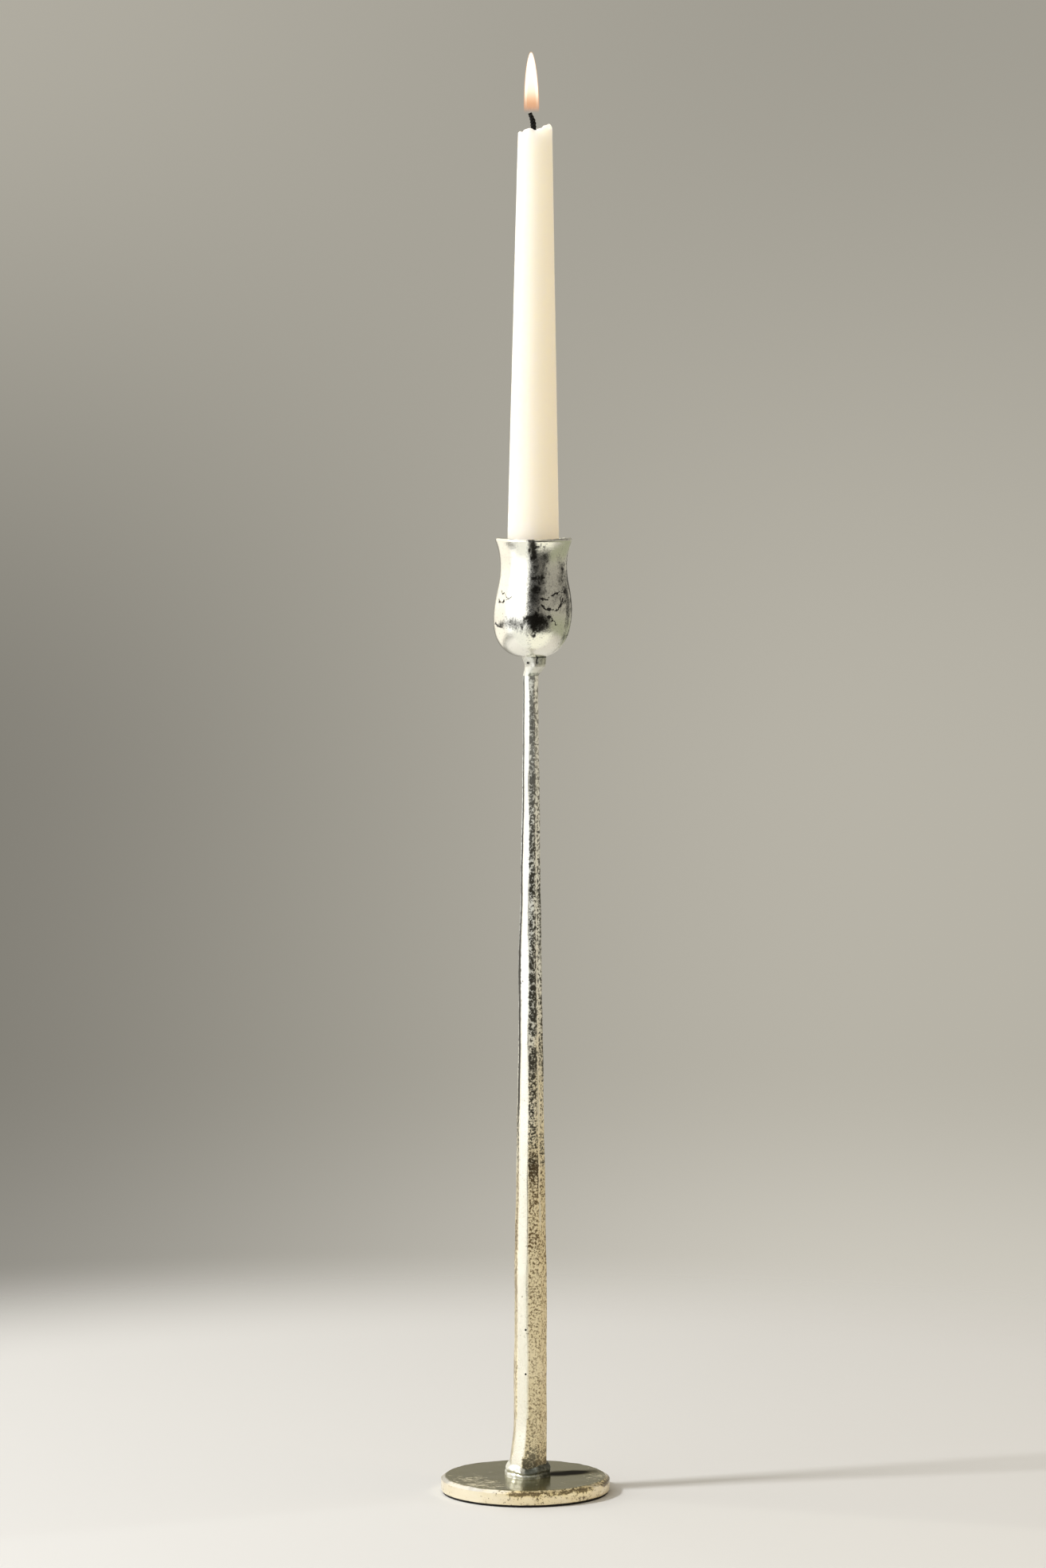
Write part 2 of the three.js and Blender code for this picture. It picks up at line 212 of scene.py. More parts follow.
stageSettings = {
    "floorColour": "#D6D6D6",
    "floorRadius": 1.4,  # metres, as is the next
    "floorFade": (0.42, 0.74),
    "wallColour": "#A7A398",
    "wallLowColour": "#BCB8AE",
    # the wall's light by the way that one looks: from and to along an axis, then what it is at each
    "wallFoot": (-0.113, -0.165),
    "wallAcross": (-0.13, 0.07, -1.3, 0.68),
    "wallDown": (0.09, -0.07, -0.11, 0.34),
    "wallPastPicture": (0.35, 0.7, 1.0, 0.82),
    # each light: azimuth and elevation in degrees, distance, width, height and middle in metres, watts, colour
    "keyLight": (196.2, 45.0, 2.65, 0.3, 0.3, 0.0, 44.0, "#FFFFFF"),
    "tallPanel": (220.0, 0.0, 1.6, 2.3, 2.4, 0.75, 18.8, "#FFFFFF"),
    "rearPanel": (149.5, 0.0, 1.6, 2.04, 2.4, 0.75, 12.5, "#FFF8EC"),
    "topPanel": (150.0, 68.0, 1.7, 0.9, 0.9, 0.1, 2.2, "#FFFFFF"),
    "warmFill": (-14.0, 4.0, 1.6, 1.6, 1.6, 0.5, 11.6, "#FFE3B6"),
    # each card: from and to azimuth in degrees, near and far edge in metres, height of its wall, colour
    "darkFloor": (256.0, 324.0, 0.78, 3.0, 0.0, "#050505"),
    "darkWall": (256.0, 284.0, 2.99, 3.0, 2.4, "#050505"),
    "dimWall": (284.0, 304.0, 2.99, 3.0, 2.4, "#656159"),
    "paleFloor": (204.0, 256.0, 0.05, 1.6, 0.0, "#F4F3EA"),
    "nearFloor": (256.0, 340.0, 0.05, 0.78, 0.0, "#FAF7E6"),
    "greyFloor": (324.0, 430.0, 0.82, 4.2, 0.0, "#9A9B85"),
}


def studioWall():
    world = bpy.data.worlds.new("studioWall")
    add = nodeAdder(world)
    s = stageSettings
    axes = add("SeparateXYZ", [add("TexCoord").outputs["Generated"]])
    foot = add("MapRange", [axes.outputs[2], *s["wallFoot"]], interpolation_type="SMOOTHSTEP")
    wall = add("Mix", {0: foot, 6: s["wallColour"], 7: s["wallLowColour"]}, data_type="RGBA").outputs[2]
    across = add("MapRange", [axes, *s["wallAcross"]], interpolation_type="SMOOTHSTEP")
    down = add("MapRange", [axes.outputs[2], *s["wallDown"]], interpolation_type="SMOOTHSTEP")
    slant = add("Math", [across, down], operation="MULTIPLY")
    strength = add("Math", [slant, 1.0])
    pastPicture = add("MapRange", [axes, *s["wallPastPicture"]])
    shown = add("Math", [strength, pastPicture], operation="MULTIPLY")
    add("OutputWorld", [add("Background", [wall, shown])])
    return world


def addAreaLight(name):
    azimuth, elevation, distance, width, height, middle, power, hexColour = stageSettings[name]
    light = bpy.data.lights.new(name, "AREA")
    light.shape = "RECTANGLE"
    light.size, light.size_y = width, height
    light.energy = power
    light.color = linear(hexColour)[:3]
    lamp = bpy.data.objects.new(name, light)
    turn, lift = math.radians(azimuth), math.radians(elevation)
    away = Vector((math.cos(turn) * math.cos(lift), math.sin(turn) * math.cos(lift), math.sin(lift)))
    lamp.location = Vector((0, 0, middle)) + away * distance
    lamp.rotation_euler = away.to_track_quat("Z", "Y").to_euler()
    lamp.visible_camera = False
    scene.collection.objects.link(lamp)
    return lamp


def floorMaterial():  # matt painted board, let through to the wall's colour away from the holder
    material, add = newMaterial("mattPaintedBoard")
    reach = add("VectorMath", [add("TexCoord").outputs["Object"]], operation="LENGTH").outputs["Value"]
    away = add("MapRange", [reach, *stageSettings["floorFade"]], interpolation_type="SMOOTHSTEP")
    board = add("BsdfPrincipled", {"Base Color": stageSettings["floorColour"], "Roughness": 0.7,
                                   "Specular IOR Level": 0.25})
    add("OutputMaterial", [add("MixShader", [away, board, add("BsdfTransparent")])])
    return material


# A card that gloss alone sees: a stretch of floor round the holder, or a curved wall behind the camera.
def addCard(name):
    start, end, near, far, height, hexColour = stageSettings[name]
    bm = bmesh.new()
    turn = Matrix.Rotation(math.radians(start), 4, "Z")
    ends = [bm.verts.new(turn @ Vector((distance, 0, 0.001))) for distance in (near, far)]
    line = bm.edges.new(ends)
    bmesh.ops.spin(bm, geom=ends + [line], axis=(0, 0, 1), angle=math.radians(end - start), steps=24)
    if height:
        outer = [edge for edge in bm.edges
                 if all(vert.co.xy.length > (near + far) / 2 for vert in edge.verts)]
        raised = bmesh.ops.extrude_edge_only(bm, edges=outer)["geom"]
        bmesh.ops.translate(bm, verts=[part for part in raised if isinstance(part, bmesh.types.BMVert)],
                            vec=(0, 0, height))
    material, add = newMaterial(name + "Card")
    add("OutputMaterial", [add("Emission", [hexColour])])
    card = linkedPiece(bm, name, material)
    card.visible_camera = False
    card.visible_diffuse = False
    card.visible_shadow = False
    card.visible_transmission = False


def buildStage():
    scene.world = studioWall()
    for name in ("keyLight", "tallPanel", "rearPanel", "topPanel"):
        addAreaLight(name)
    addAreaLight("warmFill").visible_glossy = False  # it warms the wax and leaves the metal's reflections alone
    bm = bmesh.new()
    bmesh.ops.create_circle(bm, cap_ends=True, radius=stageSettings["floorRadius"], segments=96)
    linkedPiece(bm, "studioFloor", floorMaterial())
    for name in ("darkFloor", "darkWall", "dimWall", "paleFloor", "nearFloor", "greyFloor"):
        addCard(name)


buildStage()
print("stage built")


# Finishes

def leafMaterial(name, s):
    # Silver leaf over iron, rubbed back and lacquered: metal that is bright and nearly smooth within each
    # grain, while the grains tilt, so a dark or light edge in it breaks into specks.
    material, add = newMaterial(name)
    place = add("TexCoord").outputs["Object"]
    height = add("SeparateXYZ", [place]).outputs[2]
    cloud = add("TexNoise", {"Vector": place, "Scale": scaleOf(s["cloudSize"]), "Detail": 3.0, "Roughness": 0.6})
    tarnish, crack, mark = [add("Attribute", attribute_name=wear).outputs["Fac"]
                            for wear in ("tarnish", "crack", "mark")]

    # The leaf is cool silver above and champagne lower down.
    drift = add("Math", [cloud, s["cloudSway"], height], operation="MULTIPLY_ADD")
    warmth = add("MapRange", [drift, s["warmBelow"] + s["cloudSway"] / 2, s["coolAbove"] + s["cloudSway"] / 2,
                              1.0, 0.0], interpolation_type="SMOOTHSTEP")
    leaf = add("Mix", {0: warmth, 6: s["coolLeaf"], 7: s["warmLeaf"]}, data_type="RGBA").outputs[2]

    # Grains are about 0.4 mm on the real leaf, and drawn coarser so that a picture of this size shows them.
    # The patina that stayed between them shows where the piece is tarnished, and finer where the leaf is warm.
    coolGrain, warmGrain = [add("TexNoise", {"Vector": place, "Scale": scaleOf(size), "Detail": 4.0,
                                             "Roughness": 0.75}) for size in (s["grainSize"], s["warmGrainSize"])]
    finer = add("MapRange", [warmth, *s["finerOver"]])
    grain = add("Mix", {0: finer, 2: coolGrain, 3: warmGrain})
    level = add("Math", [tarnish, s["patinaSpread"], s["grainLevel"]], operation="MULTIPLY_ADD")
    over = add("Math", [grain, level], operation="SUBTRACT")
    share = add("MapRange", [over, -s["grainSoftness"], s["grainSoftness"], 1.0, 0.0])
    # It is strongest half way up the stem and softer towards both ends, and grey, not brown, above the foot weld.
    rise = add("Math", [height, s["darkestHeight"]], operation="SUBTRACT")
    fromDarkest = add("Math", [rise], operation="ABSOLUTE")
    depth = add("MapRange", [fromDarkest, *s["darkReach"], s["patinaDepth"], s["endPatinaDepth"]])
    patina = add("Math", [share, depth], operation="MULTIPLY")
    aboveWeld = add("MapRange", [drift, *s["brownAbove"]])
    browned = add("MapRange", [warmth, *s["brownedOver"], 0.0, aboveWeld])
    patinaColour = add("Mix", {0: browned, 6: s["coolPatina"], 7: s["warmPatina"]}, data_type="RGBA").outputs[2]
    agedLeaf = add("Mix", {0: warmth, 6: s["greyedLeaf"], 7: s["teaLeaf"]}, data_type="RGBA").outputs[2]
    agedShare = add("MapRange", [tarnish, *s["agedOver"]])
    toned = add("Mix", {0: agedShare, 6: leaf, 7: agedLeaf}, data_type="RGBA").outputs[2]
    sooty = add("MapRange", [tarnish, s["sootyFrom"], 1.0, 0.0, 0.95], interpolation_type="SMOOTHSTEP")
    shaded = add("Mix", {0: sooty, 6: toned, 7: s["coolPatina"]}, data_type="RGBA").outputs[2]
    aged = add("Mix", {0: patina, 6: shaded, 7: patinaColour}, data_type="RGBA").outputs[2]

    # Pinholes and hair cracks in the leaf, down to black iron.
    cells = add("TexVoronoi", {"Vector": place, "Scale": scaleOf(s["pinholePitch"])})
    chance = add("SeparateColor", [cells.outputs["Color"]])
    size = add("MapRange", [chance, s["pinholeShare"], 0.0, 0.0, s["pinholeSize"]])
    hole = add("Math", [cells.outputs["Distance"], size], operation="LESS_THAN")
    bead = add("TexNoise", {"Vector": place, "Scale": scaleOf(s["crackBeadSize"]), "Detail": 3.0,
                            "Roughness": 0.7})
    nearness = add("Math", [bead, s["crackBeading"], crack], operation="MULTIPLY_ADD")
    cracked = add("Math", [nearness, s["crackLevel"]], operation="GREATER_THAN")
    deep = add("Math", [hole, cracked], operation="MAXIMUM")
    bare = add("Math", [deep, mark], operation="MAXIMUM")
    holed = add("Mix", {0: bare, 6: aged, 7: s["iron"]}, data_type="RGBA").outputs[2]

    # Tarnished leaf is crazed, so it takes light from all round and stays pale beside its matt dark patina.
    crazed = add("MapRange", [tarnish, *s["crazedOver"], s["metal"], s["crazedMetal"]])
    metal = add("MapRange", [bare, 0.0, 1.0, crazed, 0.0])
    gloss = add("MapRange", [cloud, 0.3, 0.7, *s["roughness"]])
    dulled = add("Math", [patina, s["patinaRoughness"], gloss], operation="MULTIPLY_ADD")
    sheen = add("MapRange", [patina, 0.0, 1.0, *s["sheen"]])
    bump = add("Bump", {"Height": grain, "Distance": s["grainDepth"] * mm})
    shader = add("BsdfPrincipled", {"Base Color": holed, "Metallic": metal, "Roughness": dulled,
                                    "Specular IOR Level": sheen, "Normal": bump})
    add("OutputMaterial", [shader])
    return material


leafSettings = {
    "cloudSize": 14.0,
    "warmBelow": 0.12,  # metres, as are the next five
    "coolAbove": 0.26,
    "cloudSway": 0.08,
    "brownAbove": (0.052, 0.068),
    "darkestHeight": 0.2,
    "darkReach": (0.085, 0.135),
    "coolLeaf": "#F7F6EE",
    "warmLeaf": "#F1EDDE",
    "greyedLeaf": "#ECF1EE",
    "teaLeaf": "#E6DAB6",
    "coolPatina": "#25231B",
    "warmPatina": "#574222",
    "patinaDepth": 0.96,
    "endPatinaDepth": 0.78,
    "iron": "#14120F",
    "grainSize": 1.4,
    "warmGrainSize": 1.05,
    "grainLevel": 0.34,
    "grainSoftness": 0.04,
    "grainDepth": 0.07,
    "sootyFrom": 0.6,
    "pinholePitch": 3.2,
    "pinholeShare": 0.12,
    "pinholeSize": 0.2,
    "crackBeadSize": 0.8,
    "crackBeading": 1.0,
    "crackLevel": 1.26,
    "metal": 0.78,
    "crazedMetal": 0.12,
    "roughness": (0.14, 0.24),
    "finerOver": (0.35, 0.65),  # shares of warmth between which the finer grain takes over, then the brown
    "brownedOver": (0.86, 1.0),
    "agedOver": (0.08, 0.4),  # tarnish between which the leaf looks aged, then crazed
    "crazedOver": (0.06, 0.25),
    "patinaSpread": 0.3,
    "patinaRoughness": 0.25,
    "sheen": (0.5, 0.1),  # of the leaf, and of the matt patina
}

stemLeaf = leafMaterial("silverLeafOverHammeredIron", leafSettings)
cupLeaf = leafMaterial("silverLeafOverSpunIron", {
    **leafSettings, "coolLeaf": "#FBFAF0", "greyedLeaf": "#F3F3EC", "coolPatina": "#24221E", "grainSize": 0.8,
    "grainLevel": 0.3, "grainSoftness": 0.1, "grainDepth": 0.062, "endPatinaDepth": 0.85, "sootyFrom": 0.15,
    "pinholePitch": 2.4, "metal": 0.98, "crazedMetal": 0.9, "roughness": (0.11, 0.17)})
weldLeaf = leafMaterial("silverLeafOverWeld", {
    **leafSettings, "warmBelow": -1.0, "coolAbove": -0.9, "coolLeaf": "#DCDCD4", "greyedLeaf": "#D6D9CF",
    "coolPatina": "#41443B", "grainSize": 1.3, "grainSoftness": 0.1, "grainDepth": 0.04, "endPatinaDepth": 0.6,
    "sootyFrom": 0.25, "pinholeShare": 0.04, "crazedMetal": 0.7, "roughness": (0.32, 0.44)})


plateFinish = {
    "oliveDark": "#7C7755",
    "oliveLight": "#9F9A70",
    "fleck": "#DDD4B4",
    "silver": "#E4E1D8",
    "paleGold": "#F3E9D0",
    "deepGold": "#E6D4A4",
    "brown": "#463419",
    # the dark colour of the painted shadow of the stem beside the weld
    "scorch": "#1E1B14",
    "edgeStart": 36.0,  # from the plate's middle, where its top ends
    "edgeRaggedness": 1.2,
    "bevelFoot": 6.05,
    "cloudSize": 16.0,
    "grainSize": 1.5,
    "grainDepth": 0.03,
    "scratchSize": 1.5,
    "scratchStretch": 0.4,
    "scratchTurn": 0.4,  # radians
}


def plateMaterial():
    # Champagne leaf gone olive under old lacquer on top, and rubbed to pale gold round the edge.
    material, add = newMaterial("agedLeafOverPlate")
    s = plateFinish
    place = add("TexCoord").outputs["Object"]
    height = add("SeparateXYZ", [place]).outputs[2]
    flat = add("VectorMath", [place, (1.0, 1.0, 0.0)], operation="MULTIPLY")
    reach = add("VectorMath", [flat], operation="LENGTH").outputs["Value"]
    cloud = add("TexNoise", {"Vector": place, "Scale": scaleOf(s["cloudSize"]), "Detail": 4.0, "Roughness": 0.6})
    grain = add("TexNoise", {"Vector": place, "Scale": scaleOf(s["grainSize"]), "Detail": 5.0, "Roughness": 0.75})
    tarnish, scorch = [add("Attribute", attribute_name=wear).outputs["Fac"] for wear in ("tarnish", "scorch")]
    ragged = add("Math", [grain, s["edgeRaggedness"] * mm, reach], operation="MULTIPLY_ADD")
    edge = add("MapRange", [ragged, s["edgeStart"] * mm + 0.0005, s["edgeStart"] * mm + 0.0012])

    # The edge: gold that deepens, then brown between the grains, where it is tarnished.
    gold = add("MapRange", [tarnish, 0.05, 0.6])
    bevel = add("MapRange", [height, (s["bevelFoot"] - 0.1) * mm, (s["bevelFoot"] + 0.15) * mm])
    pale = add("Mix", {0: bevel, 6: s["paleGold"], 7: s["silver"]}, data_type="RGBA").outputs[2]
    goldColour = add("Mix", {0: gold, 6: pale, 7: s["deepGold"]}, data_type="RGBA").outputs[2]
    level = add("Math", [tarnish, 0.3, 0.32], operation="MULTIPLY_ADD")
    over = add("Math", [grain, level], operation="SUBTRACT")
    patina = add("MapRange", [over, -0.04, 0.04, 0.85, 0.0])
    edgeColour = add("Mix", {0: patina, 6: goldColour, 7: s["brown"]}, data_type="RGBA").outputs[2]

    # The top: olive with short scratches and flecks down to bright metal, and a painted shadow of the stem beside
    # the weld.
    olive = add("Mix", {0: cloud, 6: s["oliveDark"], 7: s["oliveLight"]}, data_type="RGBA").outputs[2]
    stretched = add("Mapping", {0: place, "Rotation": (0, 0, s["scratchTurn"]),
                                "Scale": (s["scratchStretch"], 1.0, 1.0)})
    flecks = add("TexNoise", {"Vector": stretched, "Scale": scaleOf(s["scratchSize"]), "Detail": 4.0,
                              "Roughness": 0.75})
    rarity = add("Math", [tarnish, -0.3, 0.74], operation="MULTIPLY_ADD")
    fleckOver = add("Math", [flecks, rarity], operation="SUBTRACT")
    fleck = add("MapRange", [fleckOver, -0.005, 0.015, 0.0, 0.9])
    flecked = add("Mix", {0: fleck, 6: olive, 7: s["fleck"]}, data_type="RGBA").outputs[2]
    topColour = add("Mix", {0: scorch, 6: flecked, 7: s["scorch"]}, data_type="RGBA").outputs[2]

    # Lacquer over the olive is less metallic than bare flecks and edges, and the painted shadow is dull.
    colour = add("Mix", {0: edge, 6: topColour, 7: edgeColour}, data_type="RGBA").outputs[2]
    topMetal = add("MapRange", [fleck, 0.0, 0.8, 0.86, 0.3])
    unscorched = add("MapRange", [edge, 0.0, 1.0, topMetal, 0.6])
    metal = add("MapRange", [scorch, 0.0, 1.0, unscorched, 0.0])
    shine = add("MapRange", [scorch, 0.0, 1.0, 0.5, 0.05])
    gloss = add("MapRange", [cloud, 0.3, 0.7, 0.13, 0.2])
    dulled = add("Math", [scorch, 0.5, gloss], operation="MULTIPLY_ADD")
    bump = add("Bump", {"Height": grain, "Distance": s["grainDepth"] * mm})
    shader = add("BsdfPrincipled", {"Base Color": colour, "Metallic": metal, "Roughness": dulled,
                                    "Specular IOR Level": shine, "Normal": bump})
    add("OutputMaterial", [shader])
    return material


plateLeaf = plateMaterial()


waxLook = {
    "thin": "#D3CFC9",
    "thick": "#CDC9C2",
    "glow": "#FFECD6",
    "coatSize": 9.0,
    "coatStretch": 0.12,
    "coatDepth": 0.12,
    "scatter": 45.0,  # how far red light travels in the wax
}


def waxMaterial():
    # Dipped paraffin taper in ivory: waxy, with a painted glow all through it as if lit from within, and the faint
    # long runs that its coats leave.
    material, add = newMaterial("ivoryParaffin")
    s = waxLook
    stretched = add("Mapping", {0: add("TexCoord").outputs["Object"], "Scale": (1.0, 1.0, s["coatStretch"])})
    coats = add("TexNoise", {"Vector": stretched, "Scale": scaleOf(s["coatSize"]), "Detail": 3.0})
    colour = add("Mix", {0: coats, 6: s["thin"], 7: s["thick"]}, data_type="RGBA").outputs[2]
    gloss = add("MapRange", [coats, 0.3, 0.7, 0.38, 0.48])
    bump = add("Bump", {"Height": coats, "Distance": s["coatDepth"] * mm})
    shader = add("BsdfPrincipled", {
        "Base Color": colour, "Roughness": gloss, "IOR": 1.43, "Normal": bump, "Subsurface Weight": 1.0,
        "Subsurface Radius": (1.0, 0.9, 0.6), "Subsurface Scale": s["scatter"] * mm,
        # The emission is a painted glow over the whole taper, standing in for light through the wax.
        "Emission Color": s["glow"], "Emission Strength": 0.15})
    add("OutputMaterial", [shader])
    return material


# Grains of two colours, raised a little: cloth, scale and char.
def grainyMaterial(name, dark, light, grainSize, grainDepth, roughness):
    material, add = newMaterial(name)
    grain = add("TexNoise", {"Vector": add("TexCoord").outputs["Object"], "Scale": scaleOf(grainSize),
                             "Detail": 4.0, "Roughness": 0.7})
    share = add("MapRange", [grain, 0.38, 0.62])
    colour = add("Mix", {0: share, 6: dark, 7: light}, data_type="RGBA").outputs[2]
    gloss = add("MapRange", [share, 0.0, 1.0, *roughness])
    bump = add("Bump", {"Height": grain, "Distance": grainDepth * mm})
    shader = add("BsdfPrincipled", {"Base Color": colour, "Roughness": gloss, "Normal": bump,
                                    "Specular IOR Level": 0.3})
    add("OutputMaterial", [shader])
    return material


# A candle flame: glowing gas, clear at its foot, drawn as a thin skin of light. The heights say where its
# colour starts and ends to change, and then where its alpha does.
def flameMaterial(name, strength, colours, alphas, heights):
    material, add = newMaterial(name)
    height = add("SeparateXYZ", [add("TexCoord").outputs["Object"]]).outputs[2]
    start, end, clearStart, clearEnd = [level * mm for level in heights]
    share = add("MapRange", [height, start, end], interpolation_type="SMOOTHSTEP")
    colour = add("Mix", {0: share, 6: colours[0], 7: colours[1]}, data_type="RGBA").outputs[2]
    alpha = add("MapRange", [height, clearStart, clearEnd, *alphas], interpolation_type="SMOOTHSTEP")
    glow = add("Emission", [colour, strength])
    add("OutputMaterial", [add("MixShader", [alpha, add("BsdfTransparent"), glow])])
    return material


waxFinish = waxMaterial()
# soft wool with no shine, dull mottled iron, and matt black cotton that is a little ashy
feltFinish = grainyMaterial("blackWoolFelt", "#100F0E", "#272522", 0.5, 0.25, (0.98, 0.88))
socketFinish = grainyMaterial("millScaleOnIron", "#24211D", "#4A443B", 2.5, 0.08, (0.45, 0.7))
wickFinish = grainyMaterial("charredCotton", "#040403", "#161310", 0.6, 0.2, (0.95, 0.8))
outerFlame = flameMaterial("flameEdge", 1.0, ("#F0AC80", "#F8BE92"), (0.0, 0.36), (621, 634, 618.6, 622.0))
coreFlame = flameMaterial("flameMantle", 1.75, ("#FFDCAE", "#FFFFEC"), (0.0, 0.9), (621, 629, 619.6, 633))
innerFlame = flameMaterial("flameHeart", 1.0, ("#CE966F", "#FBC795"), (0.0, 0.85), (621, 630, 619.5, 625))
print("finishes made")


# Stem: an eight-sided bar, forged to a taper

stemSettings = {
    "bottom": 7.35,
    "length": 361.5,
    "offset": 2.2,
    "footWidth": 14.1,
    "headWidth": 6.5,
    "parallelLength": 98,
    "sides": 8,
    "turn": 12.0,  # degrees
    "edgeSharpness": 60,
    "footSpread": 1.15,
    "footSpreadHeight": 27,
    "headSpread": 0.05,
    "headSpreadHeight": 6,
    "footTwist": -8.0,  # degrees that the sides turn as they spread at the foot
    "blowDepth": 0.11,
    "blowPitch": 58,
    "shortBlowDepth": 0.04,
    "shortBlowPitch": 22.3,
    "dentDepth": 0.06,
    "dentSize": 6,
    "wander": 1.2,  # degrees that a side turns to and fro along the bar
    "wanderSize": 40,
    "coolFrom": 158,  # where the brown stretch ends and starts to blend into the cool one
    "coolBlend": 14,
    "brightSide": -33,  # the left of this side stayed bright, over the middle of the stem
    "brightFrom": 105,
    "brightTo": 310,
    "brightWidth": 9,  # degrees
    "brightTarnish": 0.24,
    "blotch": 0.14,  # how much the tarnish varies, and below, how strong its spots on bright sides are
    "blotchSize": 14,
    "spot": 0.1,
    "spotSize": 9,
    "footSmoke": 0.42,  # tarnish from the heat of the foot weld
    "footSmokeHeight": 20,
}
# Sides that were hit deeper, by the way that each faces in degrees: (height up the stem, how deep) in mm.
stemFlats = {
    -168: [(40, 0.0), (70, 0.35), (150, 0.65), (208, 0.7), (236, 0.1), (262, 0.75), (330, 0.75), (358, 0.3)],
    -78: [(12, 0.0), (45, 0.4), (110, 0.45), (150, 0.0)],
    -33: [(70, 0.0), (150, 1.0), (262, 1.05), (300, 0.5), (361, 0.1)],
}
# Tarnish of the eight sides, by the way that each faces in degrees: in the cool stretch, and in the brown one.
stemTarnish = {-168: (0.95, 0.6), -123: (0.0, 0.02), -78: (0.67, 0.53), -33: (0.5, 0.5), 12: (0.62, 0.4),
               57: (0.42, 0.4), 102: (0.25, 0.35), 147: (0.4, 0.35)}
# Darker and lighter stretches: side, middle and half length in mm up the stem, and how much.
stemStains = [(-78, 335, 30, 0.04), (-78, 224, 24, 0.06), (-78, 182, 10, 0.06), (-78, 197, 4, -0.2),
              (-78, 140, 6, 0.2), (-78, 259, 5, -0.3), (-78, 55, 50, -0.09), (-33, 45, 50, -0.12)]


def stemMiddle(height):
    return stemSettings["offset"] - stemSettings["footSpread"] * fade(height, stemSettings["footSpreadHeight"])


def stemRadius(angle, height):
    s = stemSettings
    tapered = max(0.0, height - s["parallelLength"]) / (s["length"] - s["parallelLength"])
    reach = mix(s["footWidth"], s["headWidth"], tapered) / 2
    reach += s["footSpread"] * fade(height, s["footSpreadHeight"])
    reach += s["headSpread"] * fade(s["length"] - height, s["headSpreadHeight"])
    total = 0.0
    for side in range(s["sides"]):
        turned = math.radians(s["wander"]) * rumple(0, 17.0 * side, height, s["wanderSize"], 2.0)
        turned += math.radians(s["footTwist"]) * fade(height, s["footSpreadHeight"])
        facing = math.cos(angle - math.radians(s["turn"]) - 2 * math.pi * side / s["sides"] - turned)
        if facing <= 0:
            continue
        blow = s["blowDepth"] * math.sin(2 * math.pi * height / s["blowPitch"] + 2.4 * side)
        blow += s["shortBlowDepth"] * math.sin(2 * math.pi * height / s["shortBlowPitch"] + 1.7 * side)
        blow += s["dentDepth"] * rumple(0, 31.0 * side, height, s["dentSize"], 5.0)
        blow -= along(stemFlats.get(round(s["turn"] + 45 * side + 180) % 360 - 180, [(0, 0.0)]), height)
        total += (facing / (reach + blow)) ** s["edgeSharpness"]
    return total ** (-1 / s["edgeSharpness"])


def buildStem():
    s = stemSettings
    levels = 361
    bm = drawnUp([s["bottom"] + s["length"] * i / levels for i in range(levels + 1)], 64,
                 math.radians(s["turn"] + 180 / s["sides"]))

    def forged(x, y, z):
        height, angle = z - s["bottom"], math.atan2(y, x)
        return onRing(stemMiddle(height), stemRadius(angle, height), angle, z)

    def tarnishAt(x, y, z):
        height = z - s["bottom"]
        turn = math.degrees(math.atan2(y, x - stemMiddle(height))) - s["turn"]
        turn -= s["footTwist"] * fade(height, s["footSpreadHeight"])
        facing = s["turn"] + 45 * round(turn / 45)
        facing = facing - 360 if facing > 180 else facing + 360 if facing < -180 else facing
        upper, lower = stemTarnish[round(facing)]
        amount = mix(lower, upper, smoothStep((height - s["coolFrom"]) / s["coolBlend"]))
        amount += sum(share * smoothStep(1.3 - abs(height - middle) / half)
                      for side, middle, half, share in stemStains if side == round(facing))
        if facing == s["brightSide"]:
            middling = smoothStep((height - s["brightFrom"]) / 15) * smoothStep((s["brightTo"] - height) / 10)
            fromLeft = smoothStep((turn + 45 + s["brightWidth"]) / s["brightWidth"])
            amount = mix(amount, mix(s["brightTarnish"], amount, fromLeft), middling)
        if amount > 0.1:
            amount += s["blotch"] * rumple(x, y, z, s["blotchSize"], 4.0)
        else:
            amount += s["spot"] * max(0.0, rumple(x, y, z, s["spotSize"], 4.0) - 0.1)
        return amount + s["footSmoke"] * fade(height, s["footSmokeHeight"]) * (facing > -100)

    reshape(bm, forged)
    finishPiece(bm, "hammeredStem", stemLeaf, "holder", "stem", "leafed_stem", 60, tarnish=tarnishAt)


buildStem()


# Cup: a tulip shell, beaten a little uneven, with a rolled lip

cupSettings = {
    "middle": 3.75,
    "bottom": 377.2,
    "height": 52.85,
    "wall": 1.5,
    "floor": 2.3,
    "flatRadius": 6.55,
    "neckRadius": 13.5,  # inside
    "bellyRadius": 16.1,  # inside
    "bellyHeight": 19.5,
    "neckHeight": 40.4,
    "bowlFullness": 2.5,
    "lipFlare": 2.2,
    "lipRoll": 1.1,
    "lipCurve": 2.2,
    "sag": 1.1,
    "unevenness": 0.12,
    "rimWave": 0.36,
    "beating": 0.1,
    "beatingSize": 8.0,
    "rimRoughness": 0.22,
    "rimRoughSize": 2.6,
    "crackReach": 1.6,
    "crackJitter": 1.3,
}
